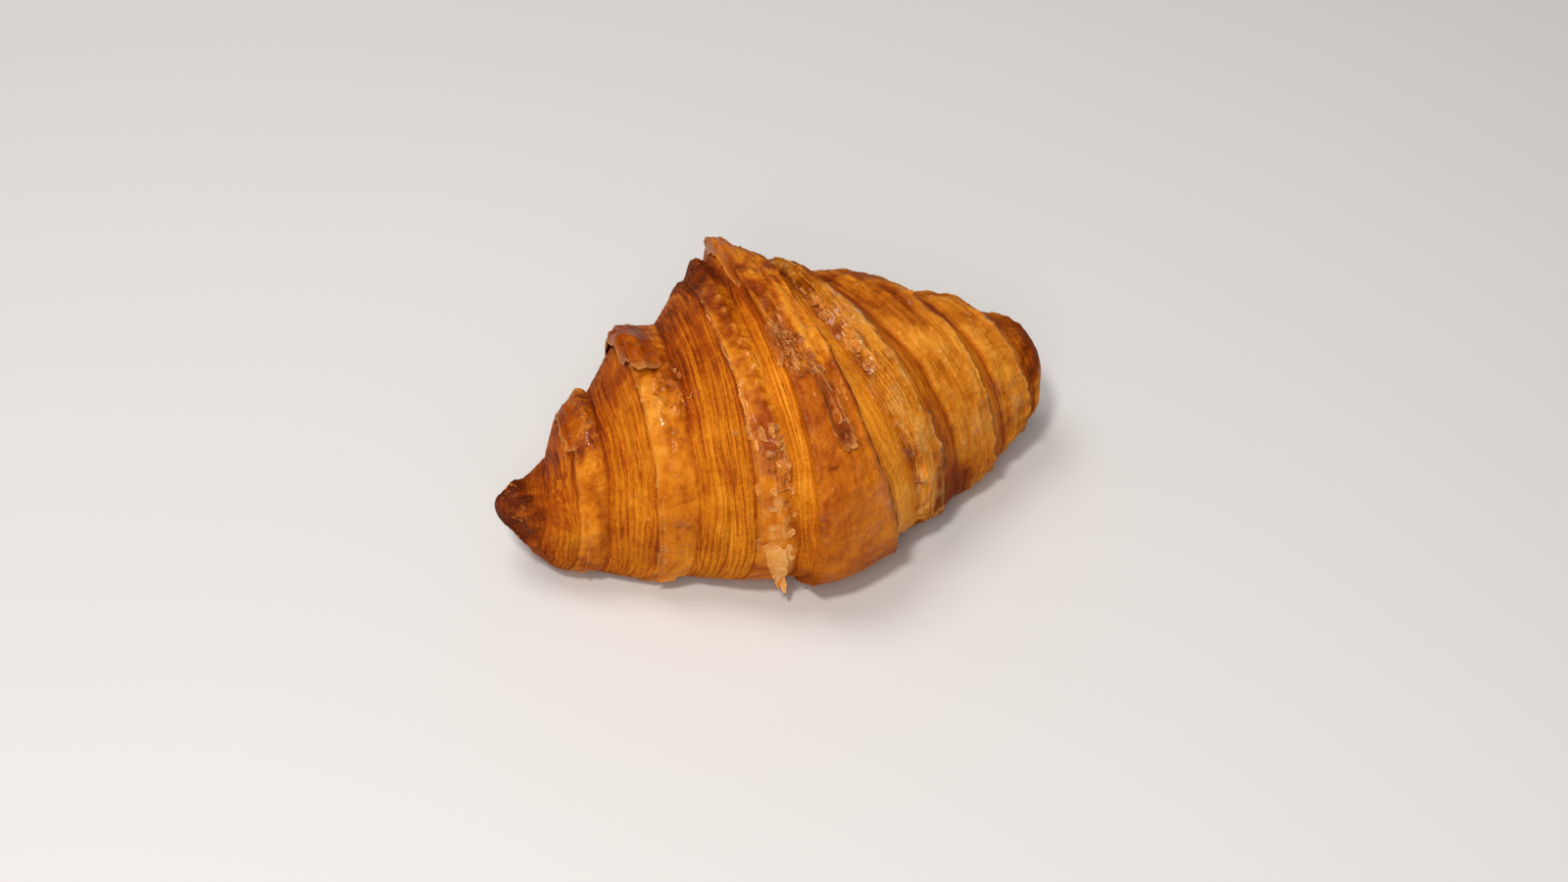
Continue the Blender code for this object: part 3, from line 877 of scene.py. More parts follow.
def closed_faces(rings, spokes):
    """Quads between all the rings but the first and last, which are single points there."""
    row = np.arange(rings - 3)[:, None] * spokes
    column = np.arange(spokes)[None, :]
    after = (column + 1) % spokes
    quads = np.stack([row + column, row + after, row + spokes + after, row + spokes + column], axis=-1)
    last, first_pole = (rings - 3) * spokes, (rings - 2) * spokes
    faces = quads.reshape(-1, 4).tolist()
    faces += [[first_pole, (spoke + 1) % spokes, spoke] for spoke in range(spokes)]
    faces += [[first_pole + 1, last + spoke, last + (spoke + 1) % spokes] for spoke in range(spokes)]
    return faces


def closed_uv(rings, angles):
    """Rings and spokes laid out flat over the whole square, a corner at a time."""
    across = np.linspace(0.0, 1.0, rings)
    around = np.append((angles + 45.0) / 360.0, 1.0)
    left, right = around[:-1], around[1:]
    grid = np.broadcast_arrays(across[1:-2, None], left[None, :], across[2:-1, None], right[None, :])
    quads = np.stack([grid[part] for part in (0, 1, 0, 3, 2, 3, 2, 1)], axis=-1)
    middle, one = 0.5 * (left + right), np.ones(len(angles))
    near, far = across[1] * one, across[-2] * one
    first = np.stack([0.0 * one, middle, near, right, near, left], axis=-1)
    final = np.stack([one, middle, far, left, far, right], axis=-1)
    return np.concatenate([quads.reshape(-1, 2), first.reshape(-1, 2), final.reshape(-1, 2)])


def build_crust(looks):
    """The whole crust as one closed skin of rings and spokes, closed by a fan at each tip."""
    angles = spoke_angles()
    x = np.stack([ring_places(angle) for angle in angles], axis=1)
    sites = Sites(x, angles).measure()
    height = crust_relief(sites, looks)
    points, _ = crust_points(sites, height, sideways(sites))

    def spread(values):
        """The inner rings' values one after another, then the mean of each end ring."""
        ends = [values[0].mean(axis=0), values[-1].mean(axis=0)]
        return np.concatenate([values[1:-1].reshape((-1,) + values.shape[2:]), np.array(ends)])

    masks = {name: spread(values) for name, values in crust_masks(sites, height).items()}
    return mesh_object("crust", spread(points), closed_faces(*x.shape), masks, closed_uv(len(x), angles))


def torn_outline(left, s, t):
    """Which cells of a grid are kept, with the corners along the tear moved onto it.

    left is above 0 inside the sheet.  Gives s and t of every corner, and the kept cells."""
    inner = left > 0.0
    moved_s, moved_t, weight = np.zeros_like(s), np.zeros_like(t), np.zeros_like(s)
    rows, columns = s.shape
    for di in (-1, 0, 1):
        for dj in (-1, 0, 1):
            here = (slice(max(-di, 0), rows - max(di, 0)), slice(max(-dj, 0), columns - max(dj, 0)))
            there = (slice(max(di, 0), rows - max(-di, 0)), slice(max(dj, 0), columns - max(-dj, 0)))
            crosses = ~inner[here] & inner[there]
            share = np.where(crosses, left[here] / (left[here] - left[there] - 1e-9), 0.0)
            moved_s[here] += crosses * blend(s[here], s[there], share)
            moved_t[here] += crosses * blend(t[here], t[there], share)
            weight[here] += crosses
    rim = weight > 0
    s = np.where(rim, moved_s / np.maximum(weight, 1), s)
    t = np.where(rim, moved_t / np.maximum(weight, 1), t)
    usable = inner | rim
    cells = usable[:-1, :-1] & usable[1:, :-1] & usable[:-1, 1:] & usable[1:, 1:]
    cells &= inner[:-1, :-1] | inner[1:, :-1] | inner[:-1, 1:] | inner[1:, 1:]
    return s, t, rim, cells


def sheet_lift(sheet, s, t, size, near_edge, seed):
    """How far a sheet stands off the crust, in mm, over s and t from -1 to 1."""
    length, width = size
    low, high, start, stop = sheet.lifts
    crinkle = rough_noise(s * length / 3.0, t * width / 3.0, seed + 4)
    waves = noise(s * length / 5.0 + 3.3, t * width / 5.0 + 3.3, seed + 9)
    rising = (0.5 - 0.5 * s) ** sheet.bow if sheet.bow else np.maximum(-s, 0.0) ** 2
    ends = start * np.maximum(-t, 0.0) ** 2 + stop * np.maximum(t, 0.0) ** 2
    lift = low * rising + high * np.maximum(s, 0.0) ** 2
    lift += ends * rising if sheet.bow else ends
    lift *= blend(1.0, ease(-1.0, 0.0, t), sheet.fade[0]) * blend(1.0, 1.0 - ease(0.0, 1.0, t), sheet.fade[1])
    free = np.clip(0.3 + lift, 0.0, 1.0)
    lift = sheet.base + lift * (1.0 + min(0.35, 3.0 * sheet.crumple) * waves)
    lift += 0.3 * free * near_edge ** 2 * (1.0 + crinkle) + sheet.crumple * crinkle
    return lift - sheet.fold * ease(FOLD_START, -1.0, s)


def two_sided(cells, flipped):
    """Faces of a thin sheet with a top and a bottom, and which corners of the grid it uses."""
    number = np.full((cells.shape[0] + 1, cells.shape[1] + 1), -1)
    used = np.zeros(number.shape, bool)
    for di, dj in ((0, 0), (1, 0), (0, 1), (1, 1)):
        used[di:cells.shape[0] + di, dj:cells.shape[1] + dj] |= cells
    size = int(used.sum())
    number[used] = np.arange(size)
    quads = np.stack([number[:-1, :-1], number[1:, :-1], number[1:, 1:], number[:-1, 1:]], axis=-1)[cells]
    if flipped:
        quads = quads[:, ::-1]
    sides = np.concatenate([quads[:, [i, (i + 1) % 4]] for i in range(4)])
    known = {tuple(side) for side in sides.tolist()}
    faces = quads.tolist() + (quads[:, ::-1] + size).tolist()
    faces += [[b, a, a + size, b + size] for a, b in known if (b, a) not in known]
    return faces, used


def sheet_parts(sheet, looks):
    """Points, faces and masks of one loose sheet with a torn outline."""
    across, along = sheet.x[1] - sheet.x[0], sheet.angle[1] - sheet.angle[0]
    centre = 0.5 * (sheet.x[0] + sheet.x[1])
    radius = Sites(np.array([centre * MM]), np.array([sheet.angle[0]])).radius[0] / MM
    length = abs(across) + abs(sheet.skew) * 0.3
    width = abs(along) * radius / RADIAN
    columns = max(round(length / SHEET_SPACING[0]), SHEET_LEAST)
    rows = max(round(width / SHEET_SPACING[1]), SHEET_LEAST)
    s, t = np.meshgrid(np.linspace(-1.0, 1.0, columns), np.linspace(-1.0, 1.0, rows), indexing="ij")
    seed = 100 + 7 * sheet.seed
    tears_s, tears_t = (s + 1.0) * 0.5 * length / sheet.grain, (t + 1.0) * 0.5 * width / sheet.grain
    tears = rough_noise(tears_s, tears_t, seed, 3)
    power = sheet.squareness
    left = 1.0 - (np.abs(s) ** power + np.abs(t) ** power) ** (1.0 / power)
    left = np.minimum(left, 0.45) - sheet.ragged * (0.35 + tears)
    s, t, rim, cells = torn_outline(left, s, t)
    if not cells.any():
        return None

    narrow = max(2.9, 0.4 * min(length, width))
    near_edge = np.clip(1.0 - np.where(rim, 0.0, left) * narrow, 0.0, 1.0)
    lift = sheet_lift(sheet, s, t, (length, width), near_edge, seed)
    down = 0.5 + 0.5 * t
    x = centre + 0.5 * across * s * (1.0 - sheet.taper * down) + sheet.skew * down
    sites = Sites(x * MM, blend(*sheet.angle, down)).measure()
    base, out = crust_points(sites, crust_relief(sites, looks), sideways(sites))
    bake = blend(browning_and_shade(sites)[0], sheet.bake, 0.45)
    top = base + out * (lift[..., None] * MM)
    top[..., 2] = np.maximum(top[..., 2], SHEET_CLEARANCE)
    bottom = top - out * (looks.skin_thickness * blend(1.0, 0.3, near_edge))[..., None]

    faces, used = two_sided(cells, (along < 0.0) != (across < 0.0))
    points = np.concatenate([top[used], bottom[used]])
    return points, faces, np.tile(near_edge[used], 2), np.tile(bake[used], 2)


def sheets_object(name, sheets, looks):
    """One piece made of many loose sheets."""
    points, faces, edges, bake_and_shade_values, pales = [], [], [], [], []
    offset = 0
    for sheet in sheets:
        made = sheet_parts(sheet, looks)
        if made is None:
            continue
        spots, sides, edge, bake = made
        faces += [[corner + offset for corner in side] for side in sides]
        points.append(spots)
        edges.append(edge)
        bake_and_shade_values.append(bake)
        pales.append(np.full(len(spots), sheet.pale))
        offset += len(spots)
    masks = {"edge": np.concatenate(edges), "bake": np.concatenate(bake_and_shade_values), "pale": np.concatenate(pales)}
    return mesh_object(name, np.concatenate(points), faces, masks)


LIFTED_SKIN = (
    # the torn lobe behind the slim half's second lip
    Sheet((-40.8, -29.0), (90, 176), 2.2, (4.6, 0.0, 0.5, 0.0), squareness=4.0, ragged=0.05,
          grain=4.5, bake=0.86, fold=2.2, bow=1.7, crumple=0.16, fade=(0.0, 1.0), seed=1),
    # browned skin on top of the slim half's third turn
    Sheet((-62.0, -52.5), (76, 128), 2.0, (1.5, 0.0, 0.0, 0.0), squareness=3.6, ragged=0.24,
          grain=2.8, bake=0.74, fold=0.5, bow=1.8, crumple=0.42, fade=(0.7, 0.6), seed=3),
    # the crest's flared end
    Sheet((-4.0, 3.4), (104, 148), 0.6, (1.1, 0.0, 0.0, 0.4), squareness=3.6, ragged=0.12,
          bake=0.50, bow=1.4, fade=(1.0, 0.0), seed=4),
    # lower lips on the front
    Sheet((-44.8, -38.0), (-30, 0), 0.8, (0.6, 0.0, 1.1, 0.0), squareness=5.0, ragged=0.25,
          bake=0.36, seed=5),
    Sheet((-43.0, -38.5), (2, 34), 1.6, (0.5, 0.0, 0.0, 0.0), squareness=5.0, ragged=0.25,
          bake=0.36, seed=6),
    Sheet((-62.4, -57.8), (-32, 18), 1.6, (0.5, 0.0, 0.3, 0.0), squareness=5.0, ragged=0.2,
          bake=0.40, seed=7),
    Sheet((20.0, 31.5), (-20, 6), -2.0, (0.5, 0.3, 0.9, 0.0), ragged=0.4, bake=0.42, pale=0.3, seed=8),
    Sheet((30.0, 33.5), (-8, 40), -7.5, (0.0, 0.5, 0.3, 0.0), ragged=0.35, bake=0.42, pale=0.1, seed=9),
    # lips behind
    Sheet((-35.0, -28.0), (150, 204), 2.6, (1.1, 0.0, 0.0, 0.0), squareness=2.6, ragged=0.2,
          bake=0.58, bow=1.8, fade=(1.0, 1.0), seed=10),
    Sheet((-54.5, -49.0), (144, 196), 2.2, (0.9, 0.0, 0.0, 0.0), squareness=2.6, ragged=0.2,
          bake=0.58, bow=1.8, fade=(1.0, 1.0), seed=11),
)
PALE_FLAKES = (
    # hanging and torn skin low on the front of the slim half's first turn
    Sheet((-19.8, -13.4), (4, -31), 3.2, (0.5, 0.4, 0.0, 4.0), taper=0.66, ragged=0.25, grain=2.6,
          bake=0.25, pale=0.9, squareness=4.0, base=0.25, seed=21),
    Sheet((-19.6, -11.4), (-14, 20), 1.0, (0.6, 0.4, 0.2, 0.5), ragged=0.8, grain=4.6,
          bake=0.36, pale=0.6, base=0.05, crumple=0.25, seed=22),
    Sheet((-15.6, -10.4), (26, 46), 1.0, (0.6, 0.7, 0.5, 0.4), ragged=0.9, grain=2.6,
          bake=0.82, pale=0.1, base=0.05, crumple=0.5, seed=23),
    Sheet((-16.9, -15.8), (42, 72), 0.4, (0.7, 0.1, 0.3, 0.2), grain=1.2, bake=0.3, pale=0.8, seed=25),
    Sheet((-16.4, -15.6), (72, 100), 0.6, (0.6, 0.1, 0.3, 0.2), grain=1.2, bake=0.35, pale=0.6, seed=26),
    # the torn end of the crest
    Sheet((-3.7, -0.6), (72, 88), -0.6, (0.9, 0.2, 0.6, 0.0), ragged=0.3, grain=2.0,
          bake=0.74, pale=0.16, base=-0.1, crumple=0.35, fade=(0.0, 0.8), seed=27),
    Sheet((-2.6, 2.6), (65.5, 76), -2.0, (0.4, 0.2, 0.7, 0.1), squareness=5.0, ragged=0.8, grain=1.3,
          bake=0.84, pale=0.10, base=-0.05, crumple=0.5, fade=(0.0, 0.8), seed=30),
    Sheet((1.2, 6.8), (65, 74), -2.0, (0.3, 0.4, 0.7, 0.1), squareness=5.0, ragged=0.8, grain=1.3,
          bake=0.76, pale=0.14, base=-0.05, crumple=0.5, fade=(0.0, 0.8), seed=28),
    Sheet((-1.4, 1.4), (76, 86), 0.0, (0.9, 0.5, 1.0, 0.1), ragged=0.5, grain=1.5,
          bake=0.68, pale=0.2, base=-0.05, crumple=0.5, fade=(0.0, 0.6), seed=29),
    # the long flake down the front of the crest, its rim curled up all round
    Sheet((3.4, 9.6), (37, 68), -3.2, (1.2, 1.3, 1.3, 0.6), taper=0.5, squareness=2.8, ragged=0.16,
          grain=1.9, bake=0.88, pale=0.04, base=-0.12, crumple=0.5, seed=31),
    Sheet((4.6, 6.6), (46, 58), -1.2, (0.5, 0.6, 0.3, 0.3), squareness=2.4, ragged=0.45,
          grain=1.3, bake=0.7, pale=0.3, base=0.0, crumple=0.6, seed=32),
    # curls on the blunt half
    Sheet((12.0, 15.2), (92, 98), -0.8, (0.3, 0.8, 1.0, 0.3), ragged=0.5, grain=1.5,
          bake=0.6, pale=0.25, crumple=0.5, seed=34),
    Sheet((13.4, 16.4), (86, 90), -0.6, (0.4, 0.7, 0.9, 0.3), ragged=0.6, grain=1.5,
          bake=0.6, pale=0.25, crumple=0.5, seed=41),
    Sheet((17.2, 20.2), (70, 76), -0.9, (0.4, 0.8, 1.1, 0.3), ragged=0.6, grain=1.5,
          bake=0.6, pale=0.3, crumple=0.5, seed=35),
    Sheet((18.8, 21.6), (62, 68), -0.9, (0.4, 0.8, 1.0, 0.3), ragged=0.6, grain=1.5,
          bake=0.6, pale=0.3, crumple=0.5, seed=42),
    # the back
    Sheet((-3.0, 3.0), (176, 196), 0.0, (0.5, 0.4, 0.4, 0.2), ragged=0.7, grain=2.0,
          bake=0.6, pale=0.2, base=-0.1, fade=(0.0, 0.8), seed=38),
    Sheet((21.0, 26.0), (172, 186), -1.0, (0.4, 0.5, 0.4, 0.2), ragged=0.7, grain=2.0,
          bake=0.55, pale=0.2, base=-0.1, fade=(0.0, 0.8), seed=39),
)


class Shards(NamedTuple):
    """A patch of small broken bits of skin, in mm and degrees."""
    x: tuple
    angle: tuple
    count: int
    length: tuple             # across the turn
    width: tuple              # degrees along the turn
    lift: float
    pale: float = 0.5


SHARD_PATCHES = (
    Shards((-18, -9), (-8, 34), 9, (0.9, 2.4), (1.5, 5.0), 0.6, 0.8),
    Shards((-15.5, -10), (28, 50), 26, (0.5, 1.9), (1.5, 8.0), 0.9, 0.4),
    Shards((-2.8, 1.5), (74, 86), 12, (0.4, 1.2), (2.0, 7.0), 1.2, 0.5),
    Shards((-1.5, 6), (64, 77), 18, (0.4, 1.3), (2.0, 7.0), 1.2, 0.5),
    Shards((4, 8), (40, 62), 8, (0.4, 0.9), (3.0, 8.0), 0.9),
    Shards((12.5, 16), (84, 99), 12, (0.4, 1.1), (2.0, 6.0), 0.9, 0.35),
    Shards((16.5, 21), (61, 80), 14, (0.4, 1.1), (2.0, 6.0), 0.9, 0.35),
    Shards((8, 27), (18, 84), 26, (0.3, 0.7), (4.0, 12.0), 0.6, 0.3),
    Shards((-37, -28), (64, 92), 14, (0.6, 1.6), (1.5, 4.0), 0.8, 0.3),
    Shards((-44, -38), (-8, 12), 5, (0.7, 1.6), (1.5, 4.0), 0.5),
    Shards((-60, 66), (-10, 215), 34, (0.7, 1.8), (1.2, 3.2), 0.5),
)
CRUMB_SEED = 77


def crumb_sheets():
    """Every shard of broken skin, in the torn places and on the cut layers."""
    draw = np.random.default_rng(CRUMB_SEED)
    crumbs = []
    for patch in SHARD_PATCHES:
        for _ in range(patch.count):
            x, angle = draw.uniform(*patch.x), draw.uniform(*patch.angle)
            length, width = draw.uniform(*patch.length), draw.uniform(*patch.width)
            skew = draw.uniform(-0.25, 0.05) * width * (1.0 if x > -5.0 else -0.4)
            crumbs.append(Sheet(
                (x, x + length), (angle, angle + width), skew,
                tuple(draw.uniform(0.0, 1.0, 4) ** 2 * patch.lift), squareness=4.5, ragged=0.62, grain=0.7,
                bake=draw.uniform(0.3, 1.0), pale=draw.uniform(0.0, patch.pale), base=0.05,
                seed=int(draw.integers(200, 900))))
    return crumbs


# ---------------------------------------------------------------- materials

class Value:
    """A number that varies over a surface.  Arithmetic on it adds Math nodes."""

    def __init__(self, recipe, socket):
        self.recipe = recipe
        self.socket = socket

    def _math(self, operation, first, second, clamp=False):
        settings = {"operation": operation, "use_clamp": clamp}
        return self.recipe.node("ShaderNodeMath", settings, {0: first, 1: second})

    def __add__(self, other):
        return self._math("ADD", self, other)

    def __sub__(self, other):
        return self._math("SUBTRACT", self, other)

    def __mul__(self, other):
        return self._math("MULTIPLY", self, other)

    def __rsub__(self, other):
        return self._math("SUBTRACT", other, self)

    __radd__ = __add__
    __rmul__ = __mul__

    def __abs__(self):
        return self._math("ABSOLUTE", self, 0.0)

    def clamped(self):
        return self._math("ADD", self, 0.0, clamp=True)

    def creased(self, sharpness):
        """Thin lines, 1 where this noise passes through its middle and 0 away from there."""
        return (1.0 - abs(self - 0.5) * sharpness).clamped()


class Recipe:
    """One material and its nodes."""

    def __init__(self, name):
        self.material = bpy.data.materials.new(name)
        self.material.use_nodes = True
        self.tree = self.material.node_tree
        self.tree.nodes.clear()
        self.shader = self.tree.nodes.new("ShaderNodeBsdfPrincipled")
        output = self.tree.nodes.new("ShaderNodeOutputMaterial")
        self.tree.links.new(self.shader.outputs[0], output.inputs["Surface"])

    def fill(self, socket, value):
        if isinstance(value, Value):
            self.tree.links.new(value.socket, socket)
        else:
            socket.default_value = value

    def node(self, kind, settings, sockets, output=0):
        """Adds a node: its settings first, then its sockets' values or links."""
        node = self.tree.nodes.new(kind)
        for name, setting in settings.items():
            if name == "stops":
                while len(node.color_ramp.elements) < len(setting):
                    node.color_ramp.elements.new(1.0)
                for element, (place, colour) in zip(node.color_ramp.elements, setting):
                    element.position = place
                    element.color = (*colour, 1.0)
            else:
                setattr(node, name, setting)
        for key, value in sockets.items():
            self.fill(node.inputs[key], value)
        return Value(self, node.outputs[output])

    def mask(self, name, output="Fac"):
        return self.node("ShaderNodeAttribute", {"attribute_name": name}, {}, output)

    def mix(self, share, first, second):
        settings = {"data_type": "RGBA", "clamp_factor": True}
        return self.node("ShaderNodeMix", settings, {0: share, 6: first, 7: second}, 2)

    def grain(self, vector, scale, detail=3.0, rough=0.55):
        return self.node("ShaderNodeTexNoise", {"noise_dimensions": "3D"}, {
            "Vector": vector, "Scale": scale, "Detail": detail, "Roughness": rough})

    def stretch(self, vector, scale):
        return self.node("ShaderNodeVectorMath", {"operation": "MULTIPLY"}, {0: vector, 1: scale})

    def ramp(self, value, stops):
        return self.node("ShaderNodeValToRGB", {"stops": stops}, {"Fac": value})

    def bump(self, height, distance, strength=1.0, normal=None):
        sockets = {"Height": height, "Distance": distance, "Strength": strength}
        if normal is not None:
            sockets["Normal"] = normal
        return self.node("ShaderNodeBump", {}, sockets)

    def finish(self, **sockets):
        for name, value in sockets.items():
            self.fill(self.shader.inputs[name.replace("_", " ")], value)
        return self.material


def rgba(colour):
    return (*colour, 1.0)


# what the shader's other sockets hold on every baked surface
GLAZE = {"Coat_Roughness": 0.09, "IOR": 1.45, "Specular_IOR_Level": 0.08}


class CrustPattern:
    """The masks of the crust, and the grain that breaks up its colour and its shine."""

    MASKS = ("cut", "ridge", "bake", "burnt", "pale", "lip", "under", "hole", "tab", "shine", "rust",
             "veined", "curls", "matt", "crinkly")

    def __init__(self, recipe):
        for name in self.MASKS:
            setattr(self, name, recipe.mask(name))
        place = recipe.node("ShaderNodeTexCoord", {}, {}, "Object")
        self.mottle = recipe.grain(place, 190.0, 4.0, 0.6)
        self.clouds = recipe.grain(place, 60.0, 3.0, 0.5)
        self.specks = recipe.grain(place, 900.0, 2.0, 0.6)
        self.pores = recipe.grain(place, 2200.0, 1.0, 0.5)
        self.crinkles = recipe.grain(place, 300.0, 2.0, 0.5).creased(8.0) * self.crinkly

        # fine lines along the turns: much shorter across them than along them
        turned = recipe.mask("turned", "Vector")
        strands = recipe.grain(recipe.stretch(turned, (1.05, 0.014, 1.0)), 1.0, 1.0, 0.5)
        fibres = recipe.grain(recipe.stretch(turned, (2.3, 0.035, 1.0)), 1.0, 1.0, 0.5)
        self.threads = recipe.grain(recipe.stretch(turned, (3.4, 0.09, 1.0)), 1.0, 3.0, 0.6)
        self.gaps = strands.creased(15.0) * ((self.clouds - 0.30) * 3.6).clamped()
        self.hairs = fibres.creased(10.0)

        cells = recipe.node("ShaderNodeTexVoronoi", {"feature": "SMOOTH_F1"}, {
            "Vector": place, "Scale": 430.0, "Smoothness": 0.5})
        bubbly = ((self.mottle * 0.5 + self.clouds * 0.5 - 0.46) * 9.0).clamped()
        self.bubbles = (1.0 - cells * 1.5).clamped() * (bubbly * (1.0 - self.cut) * (1.0 - self.matt))


def crust_browned_and_shaded(on):
    """How dark the crust looks at each place: its bake and painted shade, broken up by the grain, with
    painted highlights on the bubbles, the curls and the crinkles.
    """
    calm = 1.0 - on.tab * 0.8
    browned_and_shaded = on.bake + (on.mottle - 0.5) * 0.36 * calm + (on.clouds - 0.5) * 0.28 * calm
    # painted highlights: the bubbles' tops, the curls and the crests of the crinkles are lighter
    browned_and_shaded = browned_and_shaded + (on.specks - 0.5) * (0.24 + on.cut * 0.16) - on.bubbles * 0.16 - on.curls * 0.40
    browned_and_shaded = browned_and_shaded - on.crinkles * 0.16 + on.crinkly * 0.05
    return browned_and_shaded + on.veined * (on.hairs * 0.26 - on.gaps * 0.40 + (on.threads - 0.5) * 0.48)


def crust_colour(recipe, on, colours):
    """Glazed skin and cut layers, with rusty grooves, torn and dry places and burnt tips, painted highlights
    on the layers' edges and along the lips, and painted shade in the pits.
    """
    browned_and_shaded = crust_browned_and_shaded(on)
    skin = recipe.ramp(browned_and_shaded, (
        (0.0, colours.gold), (0.36, colours.caramel), (0.68, colours.brown), (1.0, colours.deep)))
    lines = on.gaps * 0.16 + on.hairs * 0.15 + (on.threads - 0.5) * 0.46
    # painted highlight on the raised edges of the layers and painted shade between them
    layered = recipe.ramp(browned_and_shaded - (on.ridge - 0.45) * 0.13 + lines, (
        (0.0, colours.layer_light), (0.36, colours.layer), (0.68, colours.layer_dark), (1.0, colours.deep)))
    grooved = recipe.ramp(browned_and_shaded + (on.threads - 0.5) * 0.5 + on.hairs * 0.2 + on.gaps * 0.2, (
        (0.1, colours.layer), (0.4, colours.rust), (0.85, colours.rust_dark)))
    colour = recipe.mix(on.cut, skin, layered)
    colour = recipe.mix(on.rust * ((on.mottle - 0.3) * 2.4).clamped() * 0.8, colour, grooved)

    # painted highlight: a thin pale line along the edge of each lip
    colour = recipe.mix(on.lip * on.lip * on.lip * 0.30, colour, rgba(colours.flake))
    torn = (on.pale * 1.2 + (on.mottle - 0.5) * 0.5 * on.pale).clamped()
    colour = recipe.mix(torn * 0.62, colour, rgba(colours.flake))
    # painted shade: the pits mixed towards brown
    colour = recipe.mix(on.hole * 0.6, colour, rgba(colours.brown))
    charred = on.burnt * (0.90 + (on.mottle - 0.5) * 4.6 + on.gaps * 0.5 - on.hairs * 0.5)
    colour = recipe.mix(charred.clamped(), colour, rgba(colours.burnt))
    flecks = ((on.mottle * 0.5 + on.specks * 0.5 - 0.56) * 14.0).clamped() * on.burnt
    colour = recipe.mix(flecks * 0.85, colour, rgba(colours.caramel))
    return recipe.mix(on.under * 0.55, colour, rgba(colours.brown))


def crust_bumps(recipe, on):
    """Wrinkles, then lines along the turns on them, then a fine crystal grain."""
    rough = on.mottle * (on.burnt * 1.2 + 0.7) + on.clouds * 0.4 + on.bubbles * 0.35 + on.crinkles * 0.22
    wrinkles = recipe.bump(rough, 0.0014, 0.7)
    lined = (on.threads * 0.5 - on.gaps * 0.55 - on.hairs * 0.28) * (on.cut + on.veined).clamped()
    lines = recipe.bump(lined, 0.0006, 0.8, wrinkles)
    return recipe.bump(on.specks * 0.65 + on.pores * 0.35, 0.0008, 0.6, lines)


def crust_material(colours):
    """Baked dough, glazed with egg in patches and dull on its cuts."""
    recipe = Recipe("baked_crust")
    on = CrustPattern(recipe)
    dull = on.cut * 0.22 + on.pale * 0.22 + on.matt * 0.3 + on.burnt * 0.3
    roughness = dull + 0.36 - (on.specks - 0.5) * 0.9
    glazed = ((on.mottle * 0.6 + on.clouds * 0.4 - 0.54 + on.crinkles * 0.03) * 9.0).clamped()
    shiny = glazed * 0.6 + on.shine * 0.8 + on.curls * 0.3 + on.tab * 0.15 + on.burnt * 0.08
    coat = shiny + 0.04 - on.cut * 0.3 - on.pale * 0.1 - on.matt * 0.9
    return recipe.finish(
        Base_Color=crust_colour(recipe, on, colours), Roughness=roughness.clamped(),
        Normal=crust_bumps(recipe, on), Coat_Weight=coat.clamped(), **GLAZE)


def loose_skin_material(colours, name, pale_share):
    """A thin sheet of skin: glazed amber, and paler and drier towards its torn edge."""
    recipe = Recipe(name)
    place = recipe.node("ShaderNodeTexCoord", {}, {}, "Object")
    edge, bake, pale = recipe.mask("edge"), recipe.mask("bake"), recipe.mask("pale")
    mottle = recipe.grain(place, 260.0, 4.0, 0.6)
    clouds = recipe.grain(place, 75.0, 3.0, 0.5)
    browned_and_shaded = bake + (mottle - 0.5) * 0.34 + (clouds - 0.5) * 0.30
    colour = recipe.ramp(browned_and_shaded, (
        (0.0, colours.gold), (0.36, colours.caramel), (0.68, colours.brown), (1.0, colours.deep)))
    rim = edge * edge * edge * ((mottle - 0.30) * 4.0).clamped()
    dry = (pale * (mottle * 1.8 - 0.3) + rim * 0.62).clamped()
    colour = recipe.mix(dry * pale_share, colour, rgba(colours.flake))
    wrinkles = recipe.bump(mottle, 0.0009, 0.6)
    crystals = recipe.bump(recipe.grain(place, 900.0, 2.0, 0.6), 0.0002, 0.4, wrinkles)
    roughness = (0.32 + dry * 0.22 + (mottle - 0.5) * 0.4).clamped()
    coat = ((mottle - 0.56) * 8.0 - dry * 0.4).clamped() * 0.45
    return recipe.finish(
        Base_Color=colour, Roughness=roughness, Normal=crystals, Coat_Weight=coat, **GLAZE)


def floor_material(colours):
    recipe = Recipe("pale_floor")
    place = recipe.node("ShaderNodeTexCoord", {}, {}, "Object")
    grain = recipe.grain(place, 3.0, 2.0, 0.5)
    colour = recipe.mix(grain, rgba(colours.floor), rgba([0.96 * part for part in colours.floor]))
    return recipe.finish(Base_Color=colour, Roughness=0.6)


# ---------------------------------------------------------------- the add-on

def linear(red, green, blue):
    """A colour given as everyday 0 to 255 numbers, as linear light."""
    return tuple(part / 12.92 if part <= 0.04045 else ((part + 0.055) / 1.055) ** 2.4
                 for part in (red / 255.0, green / 255.0, blue / 255.0))


def colour_property(name, description, default):
    return FloatVectorProperty(name=name, description=description, default=default,
                               subtype="COLOR", size=3, min=0.0, max=1.0)


class CroissantLooks(bpy.types.PropertyGroup):
    """Sizes of the crust's details"""
    layer_spacing: FloatProperty(
        name="Layer spacing", description="Distance between the edges of two layers of dough",
        default=1.35 * MM, min=0.3 * MM, max=3.0 * MM, unit="LENGTH", precision=5)
    layer_depth: FloatProperty(
        name="Layer depth", description="How deep the grooves between two layers are",
        default=0.28 * MM, min=0.0, max=1.5 * MM, unit="LENGTH", precision=5)
    skin_thickness: FloatProperty(
        name="Skin thickness", description="Thickness of a loose sheet of skin",
        default=0.28 * MM, min=0.1 * MM, max=1.0 * MM, unit="LENGTH", precision=5)


